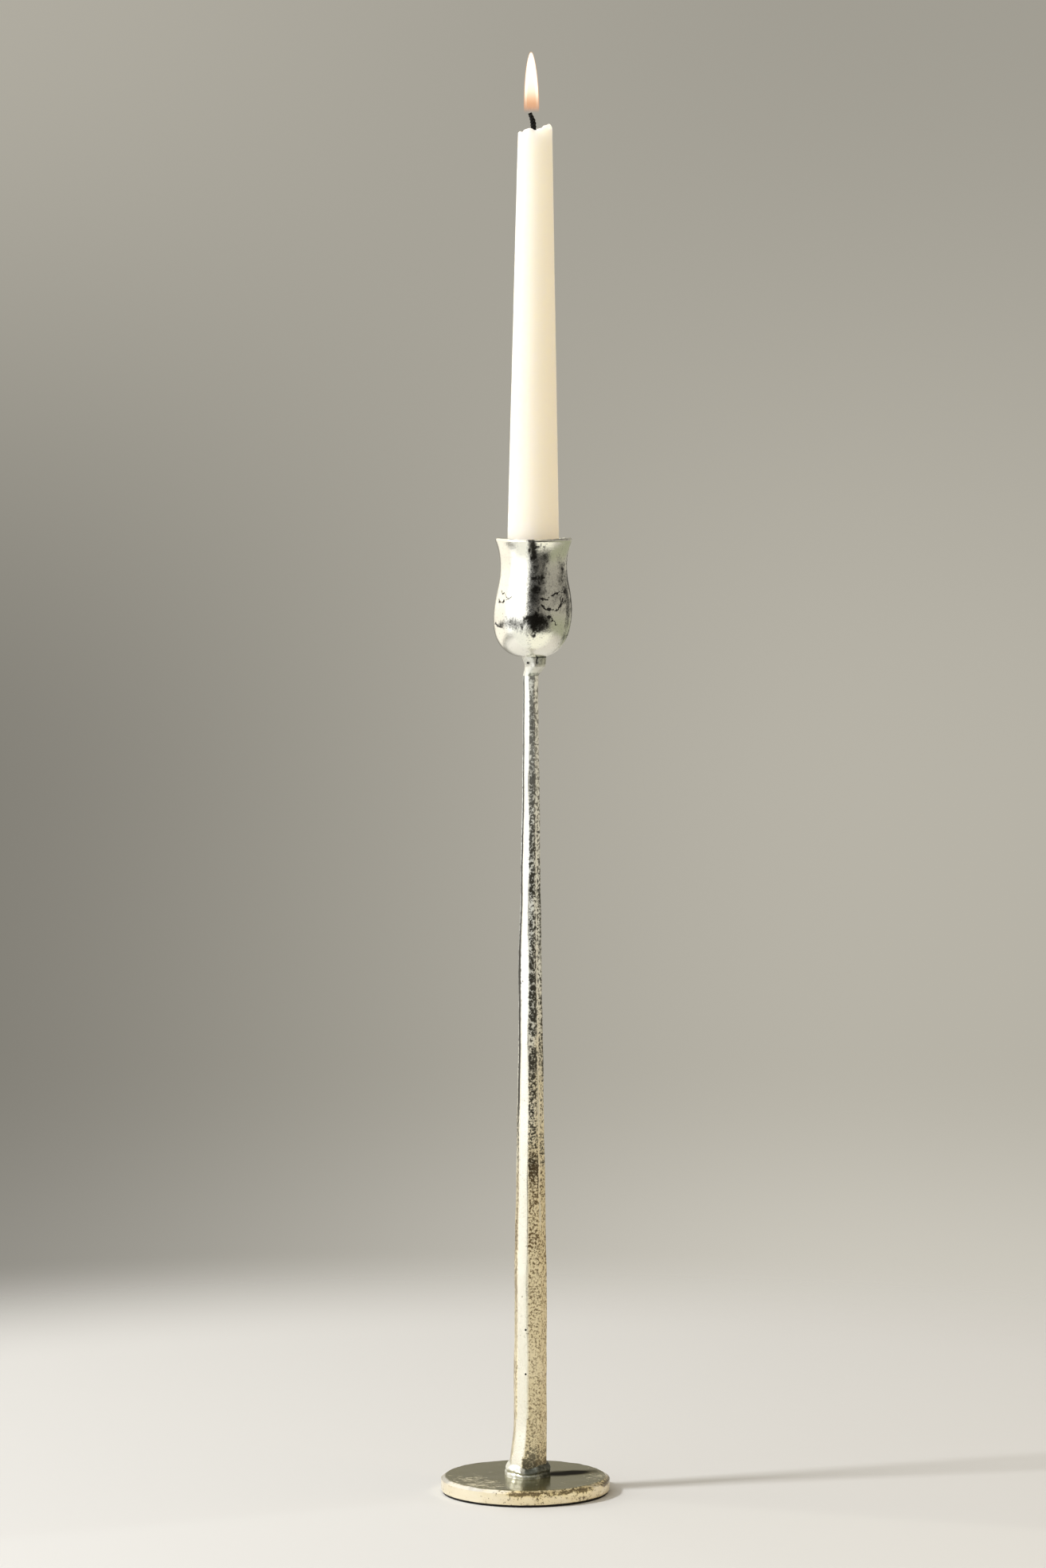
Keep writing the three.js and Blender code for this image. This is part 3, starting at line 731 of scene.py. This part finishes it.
# Tarnish on the cup, with painted light among it: a grey-green painted reflection at -36°, and painted shade along
# the rim's top at -52°, where it meets the candle. Each patch as degrees round it, height, half width in degrees,
# half height, amount.
cupStainsAndPaintedShade = [
    (-95, 30, 5, 20, 0.44), (-88, 31, 5, 15, 0.4), (-45, 34, 16, 10, 0.24), (-91, 49.5, 6, 4, 0.75),
    (-71, 44, 9, 4.5, 0.42), (-75, 36, 8, 6, 0.46), (-81, 28, 6, 7, 0.4), (-79, 16.6, 14, 3.0, 1.0),
    (-80, 12.4, 17, 1.6, 0.4), (-118, 15.4, 22, 2.6, 0.6), (-145, 14.4, 4, 0.9, 0.5), (-62, 24, 9, 6, 0.22),
    # (-36, 39) is a painted reflection, grey-green
    (-42, 27, 12, 5, 0.16), (-36, 39, 8, 6, 0.3), (-12, 28, 3.5, 20, 1.0), (-28, 8, 20, 3, 0.2),
    # (-52, 52.7) is painted shade along the rim's top
    (-26, 24, 7, 15, 0.6), (-160, 30, 10, 8, 0.16), (-52, 52.7, 30, 0.35, 0.6), (-176, 30, 3, 22, 0.25),
    (60, 20, 22, 7, 0.35), (120, 30, 18, 9, 0.3), (150, 12, 18, 4, 0.45), (30, 40, 10, 8, 0.35),
    (90, 46, 26, 3, 0.3),
]
# Cracks in the leaf, each a line of (degrees round the cup, height above the cup's foot).
cupCracks = [
    [(-78, 26.5), (-71, 26.0), (-64, 26.8), (-52, 28.4), (-40, 29.2), (-31, 29.8)],
    [(-77, 23.6), (-70, 21.6), (-62, 21.9), (-52, 20.9), (-44, 23.6), (-38, 25.6)],
    [(-66, 18.6), (-58, 16.0), (-50, 14.8)],
    [(-42, 27.0), (-47, 23.0), (-50, 21.0)],
    [(-147, 29.6), (-135, 27.0), (-127, 26.2)],
    [(-155, 26.0), (-142, 24.6), (-133, 25.4)],
    [(-172, 17.0), (-158, 14.6), (-140, 13.8)],
    [(20, 30), (33, 27), (48, 28), (60, 25), (75, 26)],
    [(50, 21), (64, 19), (72, 20), (84, 17), (100, 18)],
    [(110, 34), (124, 31), (133, 32), (149, 29)],
]


def bowlRadius(height, floor, flat, widest):
    s = cupSettings
    cutOff = (1 - (flat / widest) ** s["bowlFullness"]) ** (1 / s["bowlFullness"])
    depth = (s["bellyHeight"] - floor) / cutOff
    return widest * (1 - ((s["bellyHeight"] - height) / depth) ** s["bowlFullness"]) ** (1 / s["bowlFullness"])


def wallRadius(height):  # inside radius of the wall above the belly
    s = cupSettings
    if height <= s["neckHeight"]:
        swell = s["bellyRadius"] - s["neckRadius"]
        return s["neckRadius"] + swell * fade(height - s["bellyHeight"], s["neckHeight"] - s["bellyHeight"])
    rise = (height - s["neckHeight"]) / (s["height"] - s["lipRoll"] - s["neckHeight"])
    return s["neckRadius"] + s["lipFlare"] * rise ** s["lipCurve"]


def cupProfile():
    s = cupSettings
    bowlSteps, wallSteps, lipSteps = 30, 52, 12
    outer, inner = [(0, 0)], [(0, s["floor"])]
    for step in range(bowlSteps + 1):
        share = math.sin(math.pi / 2 * step / bowlSteps) ** 2
        outside, inside = s["bellyHeight"] * share, mix(s["floor"], s["bellyHeight"], share)
        outer.append((bowlRadius(outside, 0, s["flatRadius"], s["bellyRadius"] + s["wall"]), outside))
        inner.append((bowlRadius(inside, s["floor"], s["flatRadius"], s["bellyRadius"]), inside))
    lipHeight = s["height"] - s["lipRoll"]
    for step in range(1, wallSteps + 1):
        height = mix(s["bellyHeight"], lipHeight, step / wallSteps)
        outer.append((wallRadius(height) + s["wall"], height))
        if step < wallSteps:
            inner.append((wallRadius(height), height))
    roll = [(wallRadius(lipHeight) + s["wall"] - s["lipRoll"] + s["lipRoll"] * math.cos(math.radians(turn)),
             lipHeight + s["lipRoll"] * math.sin(math.radians(turn)))
            for turn in (20 + 170 * step / lipSteps for step in range(lipSteps + 1))]
    return outer + roll + inner[::-1]


def wallPlace(x, y, z):  # degrees round the cup, and height above its foot
    s = cupSettings
    height = z - s["bottom"]
    middle = s["middle"] - s["sag"] * fade(height, s["neckHeight"])
    return math.degrees(math.atan2(y, x - middle)), height


def cupCrack(x, y, z):  # from 0 to 1 on a crack line, by how near it passes
    s = cupSettings
    angle, height = wallPlace(x, y, z)
    reach = s["bellyRadius"] * math.radians(1)
    place = Vector((angle * reach + s["crackJitter"] * rumple(angle * reach, height, 0, 1.8, 4.0),
                    height + s["crackJitter"] * rumple(angle * reach, height, 9, 1.4, 4.0)))
    nearest = 9.0
    for line in cupCracks:
        for (a0, h0), (a1, h1) in zip(line, line[1:]):
            start, course = Vector((a0 * reach, h0)), Vector(((a1 - a0) * reach, h1 - h0))
            share = min(1.0, max(0.0, (place - start).dot(course) / course.length_squared))
            nearest = min(nearest, (place - start - course * share).length)
    return 1 - nearest / s["crackReach"]


# Tarnish, with the painted reflection and the painted shade from the patches above.
def cupTarnishAndPaintedShade(x, y, z):
    angle, height = wallPlace(x, y, z)
    ragged = 1 + 0.4 * rumple(x, y, z, 3.0, 6.0) + 0.35 * rumple(x, y, z, 1.0, 9.0)
    amount = 0.02 + 0.1 * max(0.0, rumple(x, y, z, 7.0, 2.0))
    for middle, level, halfTurn, halfHeight, share in cupStainsAndPaintedShade:
        away = abs((angle - middle + 180) % 360 - 180) / halfTurn
        amount += share * fade(ragged * math.hypot(away, (height - level) / halfHeight), 2)
    return amount


def buildCup():
    s = cupSettings
    bm = spun(cupProfile(), 288)

    def beaten(x, y, z):
        angle = math.atan2(y, x)
        rise = min(1.0, max(0.0, z / s["height"]))
        waves = math.sin(3 * angle + 5 * rise) + 0.6 * math.sin(5 * angle - 9 * rise)
        push = s["unevenness"] * waves * math.sin(math.pi * rise)
        side = onRing(0, 17, angle, z)
        push += s["beating"] * rumple(*side, s["beatingSize"], 1.0) * math.sin(math.pi * min(1.0, 0.1 + rise))
        rim = fade(s["height"] - z, 2 * s["lipRoll"])
        push += 0.6 * s["rimRoughness"] * rumple(*side, s["rimRoughSize"], 3.0) * rim
        rough = s["rimRoughness"] * rumple(*side, s["rimRoughSize"], 8.0)
        lift = rim * (s["rimWave"] * math.cos(2 * angle) + rough)
        x, y = pushedOut(x, y, push)
        return s["middle"] + x - s["sag"] * fade(z, s["neckHeight"]), y, s["bottom"] + z + lift

    reshape(bm, beaten)
    finishPiece(bm, "tulipCup", cupLeaf, "holder", "cup", "leafed_cup", 50, tarnish=cupTarnishAndPaintedShade, crack=cupCrack)


buildCup()


# Boss and neck weld: a short stub that the cup stands on, and the metal that joins it to the stem

neckSettings = {
    "stemMiddle": 2.2,
    "bossMiddle": 3.75,
    "weldBottom": 368.85,
    "bossBottom": 372.85,
    "bossTop": 377.2,
    "bossRadius": 5.45,
    "chamfer": 0.03,
    "waist": 1.4,  # how much the left of the boss draws in towards the stem
    "lumpDepth": 0.3,
    "lumpSize": 2.8,
    "seamOffset": 1.4,
    "seamFoot": 1.0,
    "seamWidth": 0.55,
    "seamDepth": 1.1,
    "seamWave": 0.12,
    "holeOffset": -2.7,
    "holeHeight": 1.6,
    "holeRadius": 0.5,
    "rightRounding": 0.35,
    "rightRoundingHeight": 1.6,
    "lobeLeft": 4.9,  # the dark patch right of the seam: its left, its foot and its tarnish
    "lobeFoot": 373.2,
    "lobeTarnish": 0.38,
    "shadeTop": 370.4,  # the dark patch where the stem's sides begin: its top, its left and its tarnish
    "shadeLeft": 1.2,
    "shadeTarnish": 0.45,
}


def bossMark(x, y, z):  # 1 inside the seam and the blowhole on the boss's front
    s = neckSettings
    across, up = x - s["bossMiddle"], z - s["bossBottom"]
    if y > 0:
        return 0.0
    fromSeam = abs(across - s["seamOffset"] - s["seamWave"] * math.sin(2 * up))
    seam = smoothStep(1.6 - fromSeam / (s["seamWidth"] / 2)) * smoothStep((up - s["seamFoot"]) / 0.3)
    hole = smoothStep(3 * (1.2 - math.hypot(across - s["holeOffset"], up - s["holeHeight"]) / s["holeRadius"]))
    return max(seam, hole)


def neckTarnish(x, y, z):
    s = neckSettings
    lobe = smoothStep((x - s["lobeLeft"]) / 0.6) * smoothStep((z - s["lobeFoot"]) / 0.8)
    amount = 0.05 + s["lobeTarnish"] * lobe if y < 0 else 0.3
    shade = s["shadeTarnish"] * smoothStep((s["shadeTop"] - z) / 0.9) * (x > s["shadeLeft"])
    return amount + shade + 0.15 * rumple(x, y, z, 1.6, 3.0)


def bossReach(angle, height):  # the boss's radius, drawn in at the left as the weld flows down to the stem
    s = neckSettings
    left = smoothStep(0.2 - math.cos(angle))
    rounding = (s["rightRounding"] * smoothStep(math.cos(angle))
                * smoothStep(1 - height / s["rightRoundingHeight"]))
    drawnIn = s["waist"] * left * smoothStep(1 - height / (s["bossTop"] - s["bossBottom"]))
    return s["bossRadius"] - rounding - drawnIn


def neckLump(x, y, z):
    return neckSettings["lumpDepth"] * rumple(x, y, z, neckSettings["lumpSize"], 2.0)


def buildBoss():
    s = neckSettings
    tall, radius, chamfer = s["bossTop"] - s["bossBottom"], s["bossRadius"], s["chamfer"]
    steps = 24
    wall = [(radius, chamfer + (tall - chamfer) * step / steps) for step in range(steps + 1)]
    bm = spun([(0, 0), (radius - chamfer - 1.2, 0)] + roundedFoot(radius, chamfer, 6) + wall + [(0, tall)], 200)

    def lumped(x, y, z):
        place = (s["bossMiddle"] + x, y, s["bossBottom"] + z)
        push = 0.0
        if math.hypot(x, y) > radius - chamfer - 0.1:
            push = bossReach(math.atan2(y, x), z) - radius + neckLump(*place) - s["seamDepth"] * bossMark(*place)
        x, y = pushedOut(x, y, push)
        return s["bossMiddle"] + x, y, s["bossBottom"] + z

    def markAt(x, y, z):  # not on the boss's end faces near its axis
        return bossMark(x, y, z) if math.hypot(x - s["bossMiddle"], y) > 2 else 0.0

    # The dark line under the cup, on the boss's right, is painted shade in the joint between boss and cup, carried
    # in the tarnish.
    def tarnishAt(x, y, z):  # with a dark line under the cup
        paintedShadeUnderCup = smoothStep((z - s["bossTop"] + 0.6) / 0.4)
        return neckTarnish(x, y, z) + 0.9 * paintedShadeUnderCup * smoothStep((x - 1.6) / 1.5)

    reshape(bm, lumped)
    finishPiece(bm, "splitBoss", weldLeaf, "holder", "neck_boss", "leafed_weld", 60, mark=markAt,
                tarnish=tarnishAt)


def buildNeckWeld():
    s = neckSettings
    levels = 36
    tall = s["bossBottom"] - s["weldBottom"]
    bm = drawnUp([s["weldBottom"] - 0.3 + (tall + 0.6) * i / levels for i in range(levels + 1)], 128,
                 math.radians(stemSettings["turn"]))

    def lumped(x, y, z):
        share = min(1.0, max(0.0, (z - s["weldBottom"]) / tall))
        angle = math.atan2(y, x)
        radius = mix(stemRadius(angle, stemSettings["length"]) + 0.05, bossReach(angle, 0) - 0.03, share)
        middle = mix(s["stemMiddle"], s["bossMiddle"], share)
        radius += neckLump(*onRing(middle, radius, angle, z)) * smoothStep(2 * share)
        return onRing(middle, radius, angle, z)

    reshape(bm, lumped)
    finishPiece(bm, "neckWeldBead", weldLeaf, "holder", "neck_weld", "leafed_weld", 60, tarnish=neckTarnish)


buildBoss()
buildNeckWeld()


# Foot: a turned plate with a bevelled edge, and the lumpy bead of weld that holds the stem to it

plateSettings = {
    "bottom": 1.0,
    "thickness": 6.35,
    "radius": 38.1,
    "bevelWidth": 2.0,
    "bevelDrop": 1.3,
    "edgeRound": 0.5,
    "topUnevenness": 0.07,
    "edgeUnevenness": 0.16,
    "flecks": 0.1,  # their share of the top, and how much more at its front left and its right
    "frontLeftFlecks": 0.62,
    "rightFlecks": 0.4,
    "leftEdge": 0.08,  # tarnish of the edge, of the brown band under its bevel, and of the bevel
    "rightEdge": 0.3,
    "brownBand": 0.9,
    "bevelTarnish": 0.2,
    # the painted shadow of the stem on the plate's top, laid along the key light's shadow
    "scorch": (19, 12, 0.29, 5.5),  # how far right its middle is, half its length, its slope, half its width
}


def buildPlate():
    s = plateSettings
    tall, radius, drop = s["thickness"], s["radius"], s["bevelDrop"]
    side = [(radius, mix(s["edgeRound"], tall - drop, step / 8)) for step in range(9)]
    bevel = [(radius - s["bevelWidth"] * step / 5, tall - drop * (1 - step / 5)) for step in range(1, 6)]
    top = [(radius - s["bevelWidth"] - (radius - s["bevelWidth"]) * step / 24, tall) for step in range(1, 25)]
    foot = [(0, 0), (radius - 2, 0)] + roundedFoot(radius, s["edgeRound"], 4)
    bm = spun(foot + side + bevel + top, 256)

    def worn(x, y, z):
        rim = smoothStep((math.hypot(x, y) - 34) / 2.5)
        edge = rim * s["edgeUnevenness"]
        lift = smoothStep((z - 1) / 2) * (s["topUnevenness"] * rumple(x, y, z, 9, 1.0)
                                          + edge * rumple(x, y, z, 4.5, 2.0))
        push = edge * (rumple(x, y, z, 5.5, 3.0) + 0.5 * rumple(x, y, z, 1.8, 4.0)) - 0.05 * rim
        x, y = pushedOut(x, y, push)
        return x, y, s["bottom"] + z + lift

    def tarnishAt(x, y, z):
        turn, reach = math.degrees(math.atan2(y, x)), math.hypot(x, y)
        rough = rumple(x, y, z, 6, 5.0) + 0.5 * rumple(x, y, z, 2.2, 7.0)
        if reach < radius - s["bevelWidth"] - 0.6:  # here it is the share of flecks
            frontLeft = fade(abs(turn + 140), 75) * smoothStep((reach - 12) / 10)
            right = s["rightFlecks"] * fade(abs(turn), 50) * smoothStep((reach - 20) / 8)
            return s["flecks"] + s["frontLeftFlecks"] * frontLeft + right + 0.35 * rough
        right = smoothStep((turn + 130) / 45) * smoothStep((200 - turn) / 60)
        amount = mix(s["leftEdge"], s["rightEdge"], right) + 0.16 * rough
        lower = fade(abs(z - s["bottom"] - (tall - drop) + 0.2), 1.3)
        patchy = smoothStep(0.75 + rumple(x, y, z, 5, 9.0) * 1.5)
        amount += s["brownBand"] * smoothStep((turn + 110) / 10) * right * lower * patchy
        return amount + s["bevelTarnish"] * right * (z > s["bottom"] + tall - drop + 0.2)

    # Painted shadow of the stem on the plate's top, running from the weld to the right and back, where the key
    # light casts it.
    def scorchAt(x, y, z):
        middle, half, slope, halfWidth = s["scorch"]
        away = math.hypot((x - middle) / half, (y - slope * x + 1) / halfWidth)
        return 0.0 if z < tall else smoothStep(1.6 - away + 0.15 * rumple(x, y, z, 3, 2.0))

    reshape(bm, worn)
    finishPiece(bm, "footPlate", plateLeaf, "holder", "foot_plate", "leafed_plate", 25, tarnish=tarnishAt,
                scorch=scorchAt)


beadSettings = {
    "width": 1.75,
    "height": 5.5,
    "lumpDepth": 0.5,
    "lumpSize": 3.6,
    "ripples": 15,
    "rippleDepth": 0.08,
    "tongue": (-122, 24, 3.1, 1.5, 0.5),  # degrees round, half width, height, half height, how far it stands out
    # shares of its width and height round the bead's section: up its face, over its top and down the stem
    "section": [(1.0, -0.3), (1.0, 0.0), (1.0, 0.1), (1.02, 0.2), (0.96, 0.29), (0.82, 0.35), (0.84, 0.42),
                (0.95, 0.5), (0.96, 0.6), (0.84, 0.71), (0.6, 0.82), (0.3, 0.92), (0.02, 1.0), (-0.35, 1.02),
                (-0.5, 0.5), (-0.5, -0.3), (1.0, -0.3)],
    "topWave": 0.17,
    "shortTopWave": 0.08,
}


# The bead's section is spun well away from the axis, and then wrapped round the stem's own outline.
def buildFootWeld():
    s = beadSettings
    spunRadius = 10
    profile = []
    for (outA, upA), (outB, upB) in zip(s["section"], s["section"][1:]):
        profile += [(spunRadius + mix(outA, outB, step / 3), mix(upA, upB, step / 3)) for step in range(3)]
    bm = spun(profile + [profile[0]], 224)

    def beaded(x, y, z):
        angle, out = math.atan2(y, x), math.hypot(x, y) - spunRadius
        level = max(0.0, z * s["height"])
        shown = smoothStep((out + 0.2) * 2)
        lump = s["lumpDepth"] * rumple(*onRing(0, 9, angle, level), s["lumpSize"], 9.0)
        lump += s["rippleDepth"] * math.sin(s["ripples"] * angle + 2.5 * math.sin(3 * angle) + level)
        turn, halfTurn, tongueLevel, halfTall, stand = s["tongue"]
        lump += stand * fade(abs(math.degrees(angle) - turn), halfTurn) * fade(abs(level - tongueLevel), halfTall)
        radius = stemRadius(angle, level) + out * s["width"] + shown * lump
        wave = 1 + s["topWave"] * math.cos(2 * angle) + s["shortTopWave"] * math.sin(5 * angle)
        up = level * wave if z > 0 else -0.2
        return onRing(stemMiddle(level), radius, angle, stemSettings["bottom"] + up)

    def tarnishAt(x, y, z):  # pale at the left and dark at the right, most of all at its top and its far end
        right = smoothStep((x + 1.2) / 1.4)
        deepest = max(smoothStep((z - 8.6) / 1.2), smoothStep((x - 6) / 2))
        return 0.03 + 0.2 * rumple(x, y, z, 1.6, 1.0) + right * mix(0.42, 0.76, deepest)

    reshape(bm, beaded)
    bmesh.ops.recalc_face_normals(bm, faces=bm.faces)
    finishPiece(bm, "footWeldBead", weldLeaf, "holder", "foot_weld", "leafed_weld", 60, tarnish=tarnishAt)


buildPlate()
buildFootWeld()


# Candle, wick and flame

candleSettings = {
    "foot": (3.3, 387.7),  # x and z of the middle of its underside
    "lean": 0.26,  # degrees
    "radius": 11.45,
    "tipRadius": 7.6,
    "length": 224.2,
    "straight": 46,
    "chamfer": 0.8,
    "rimRound": 0.8,
    "dishDepth": 2.6,
    "wickBase": -0.75,
    "strandRadius": 0.86,
    "strandSpread": 0.5,
    "plaitPitch": 4.2,
    "burntThinness": 0.72,
    "flameFoot": 618.6,
    "flameHeight": 27,
    "flameShift": 0.6,
    "flameBend": 0.2,
    # the wick's middle line from its base, as (x, z), and half the flame's outline, as (radius, height)
    "wickLine": [(0.0, -6.0), (0.0, -3.0), (0.0, 0.0), (-0.05, 1.4), (-0.1, 2.6), (-0.35, 4.1), (-1.0, 5.9),
                 (-1.7, 7.4)],
    "flameOutline": [(3.3, 0.0), (3.42, 3.9), (3.38, 7.5), (3.22, 11.0), (2.95, 14.6), (2.58, 18.1),
                     (2.05, 21.7), (1.5, 24.3), (0.95, 26.1), (0.55, 26.9), (0.0, 27.25)],
}
# The melted rim: degrees round the candle, and height above or below its mean.
candleRim = [(-180, -1.5), (-165, -1.3), (-150, -2.6), (-128, -0.6), (-108, -0.1), (-90, -1.1), (-70, -0.2),
             (-50, 1.1), (-28, 1.9), (-14, 1.2), (0, 0.6), (30, 1.3), (60, 0.7), (100, 0.0), (140, -1.2),
             (180, -1.5)]


def leaned(x, y, z):  # from the candle's own upright place to where it stands in the cup
    s = candleSettings
    turn = math.radians(s["lean"])
    return (s["foot"][0] + x * math.cos(turn) + z * math.sin(turn), y,
            s["foot"][1] + z * math.cos(turn) - x * math.sin(turn))


def buildCandle():
    s = candleSettings
    length, tip, roundSize = s["length"], s["tipRadius"], s["rimRound"]
    body = [(0, 0), (s["radius"] - s["chamfer"], 0), (s["radius"], s["chamfer"]), (s["radius"], s["straight"] / 2)]
    steps = 56
    body += [(mix(s["radius"], tip, step / steps), mix(s["straight"], length - roundSize, step / steps))
             for step in range(steps + 1)]
    rim = [(tip - roundSize + roundSize * math.cos(turn), length - roundSize + roundSize * math.sin(turn))
           for turn in (math.pi * 0.9 * step / 8 for step in range(1, 9))]
    dish = [(mix(tip - 2 * roundSize, 0, step / 8), length - s["dishDepth"] * smoothStep((step + 1) / 7))
            for step in range(1, 9)]
    bm = spun(body + rim + dish, 160)

    def melted(x, y, z):
        angle, reach = math.atan2(y, x), math.hypot(x, y)
        near = fade(length - z, 3.2) * smoothStep(reach / tip * 1.6 - 0.3)
        lift = near * (along(candleRim, math.degrees(angle)) + 0.16 * rumple(x, y, 0, 1.4, 5.0))
        soft = 0.05 * rumple(x, y, z, 17, 3.0) + 0.25 * near * rumple(x, y, z, 2.6, 8.0)
        x, y = pushedOut(x, y, soft)
        return leaned(x, y, z + lift)

    reshape(bm, melted)
    finishPiece(bm, "ivoryTaper", waxFinish, "candle", "candle_wax", "ivory_wax", 70)


# Three cotton strands, plaited round the line of the wick.
def buildWick():
    s = candleSettings
    line, count = s["wickLine"], 60
    bm = bmesh.new()
    for strand in range(3):
        rings = []
        for step in range(count + 1):
            share = step / count * (len(line) - 1)
            index = min(len(line) - 2, int(share))
            (x0, z0), (x1, z1) = line[index], line[index + 1]
            x, z = mix(x0, x1, share - index), mix(z0, z1, share - index)
            turn = 2 * math.pi * (strand / 3 + z / s["plaitPitch"])
            thin = mix(1.0, s["burntThinness"], smoothStep((z - 3) / 4))
            made = bmesh.ops.create_circle(bm, cap_ends=step in (0, count), radius=s["strandRadius"] * thin * mm,
                                           segments=10)
            tilt = Matrix.Rotation(math.atan2(x1 - x0, z1 - z0), 4, "Y")
            spread = s["strandSpread"] * thin
            side = Vector((spread * math.cos(turn), spread * math.sin(2 * turn) * 0.8, 0))
            spot = leaned(s["wickBase"] + x, 0, s["length"] - 0.6 + z)
            place = Matrix.Translation(Vector(spot) * mm) @ tilt @ Matrix.Translation(side * mm)
            bmesh.ops.transform(bm, matrix=place, verts=made["verts"])
            rings.append([edge for edge in bm.edges if all(vert in made["verts"] for vert in edge.verts)])
        for low, high in zip(rings, rings[1:]):
            bmesh.ops.bridge_loops(bm, edges=low + high)
    bmesh.ops.recalc_face_normals(bm, faces=bm.faces)
    finishPiece(bm, "burntWick", wickFinish, "candle", "wick", "burnt_cotton", 60)


# A skin of the flame: its outline, drawn in by a share and made lower, from a height above the flame's foot.
def buildFlame(name, material, width, start, tall):
    s = candleSettings
    outline, foot = s["flameOutline"], s["flameFoot"] + start
    profile = [(0, foot)]
    for (r0, h0), (r1, h1) in zip(outline, outline[1:]):
        profile += [(mix(r0, r1, step / 4) * width, foot + mix(h0, h1, step / 4) * tall) for step in range(4)]
    bm = spun(profile + [(0, foot + outline[-1][1] * tall)], 64)
    middle = s["foot"][0] - s["flameShift"]

    def bent(x, y, z):
        return x + middle - s["flameBend"] * smoothStep((z - s["flameFoot"]) / s["flameHeight"]), y, z

    reshape(bm, bent)
    finishPiece(bm, name, material, "candle", None, None, 70).visible_shadow = False


buildCandle()
buildWick()
buildFlame("flameEdge", outerFlame, 1.0, 0.0, 1.0)
buildFlame("flameMantle", coreFlame, 0.9, 0.6, 0.965)
buildFlame("flameHeart", innerFlame, 0.6, 1.2, 0.56)

for nodeName, finish in (("foot_pad", feltFinish), ("candle_socket", socketFinish)):
    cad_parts[nodeName].data.materials.clear()
    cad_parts[nodeName].data.materials.append(finish)
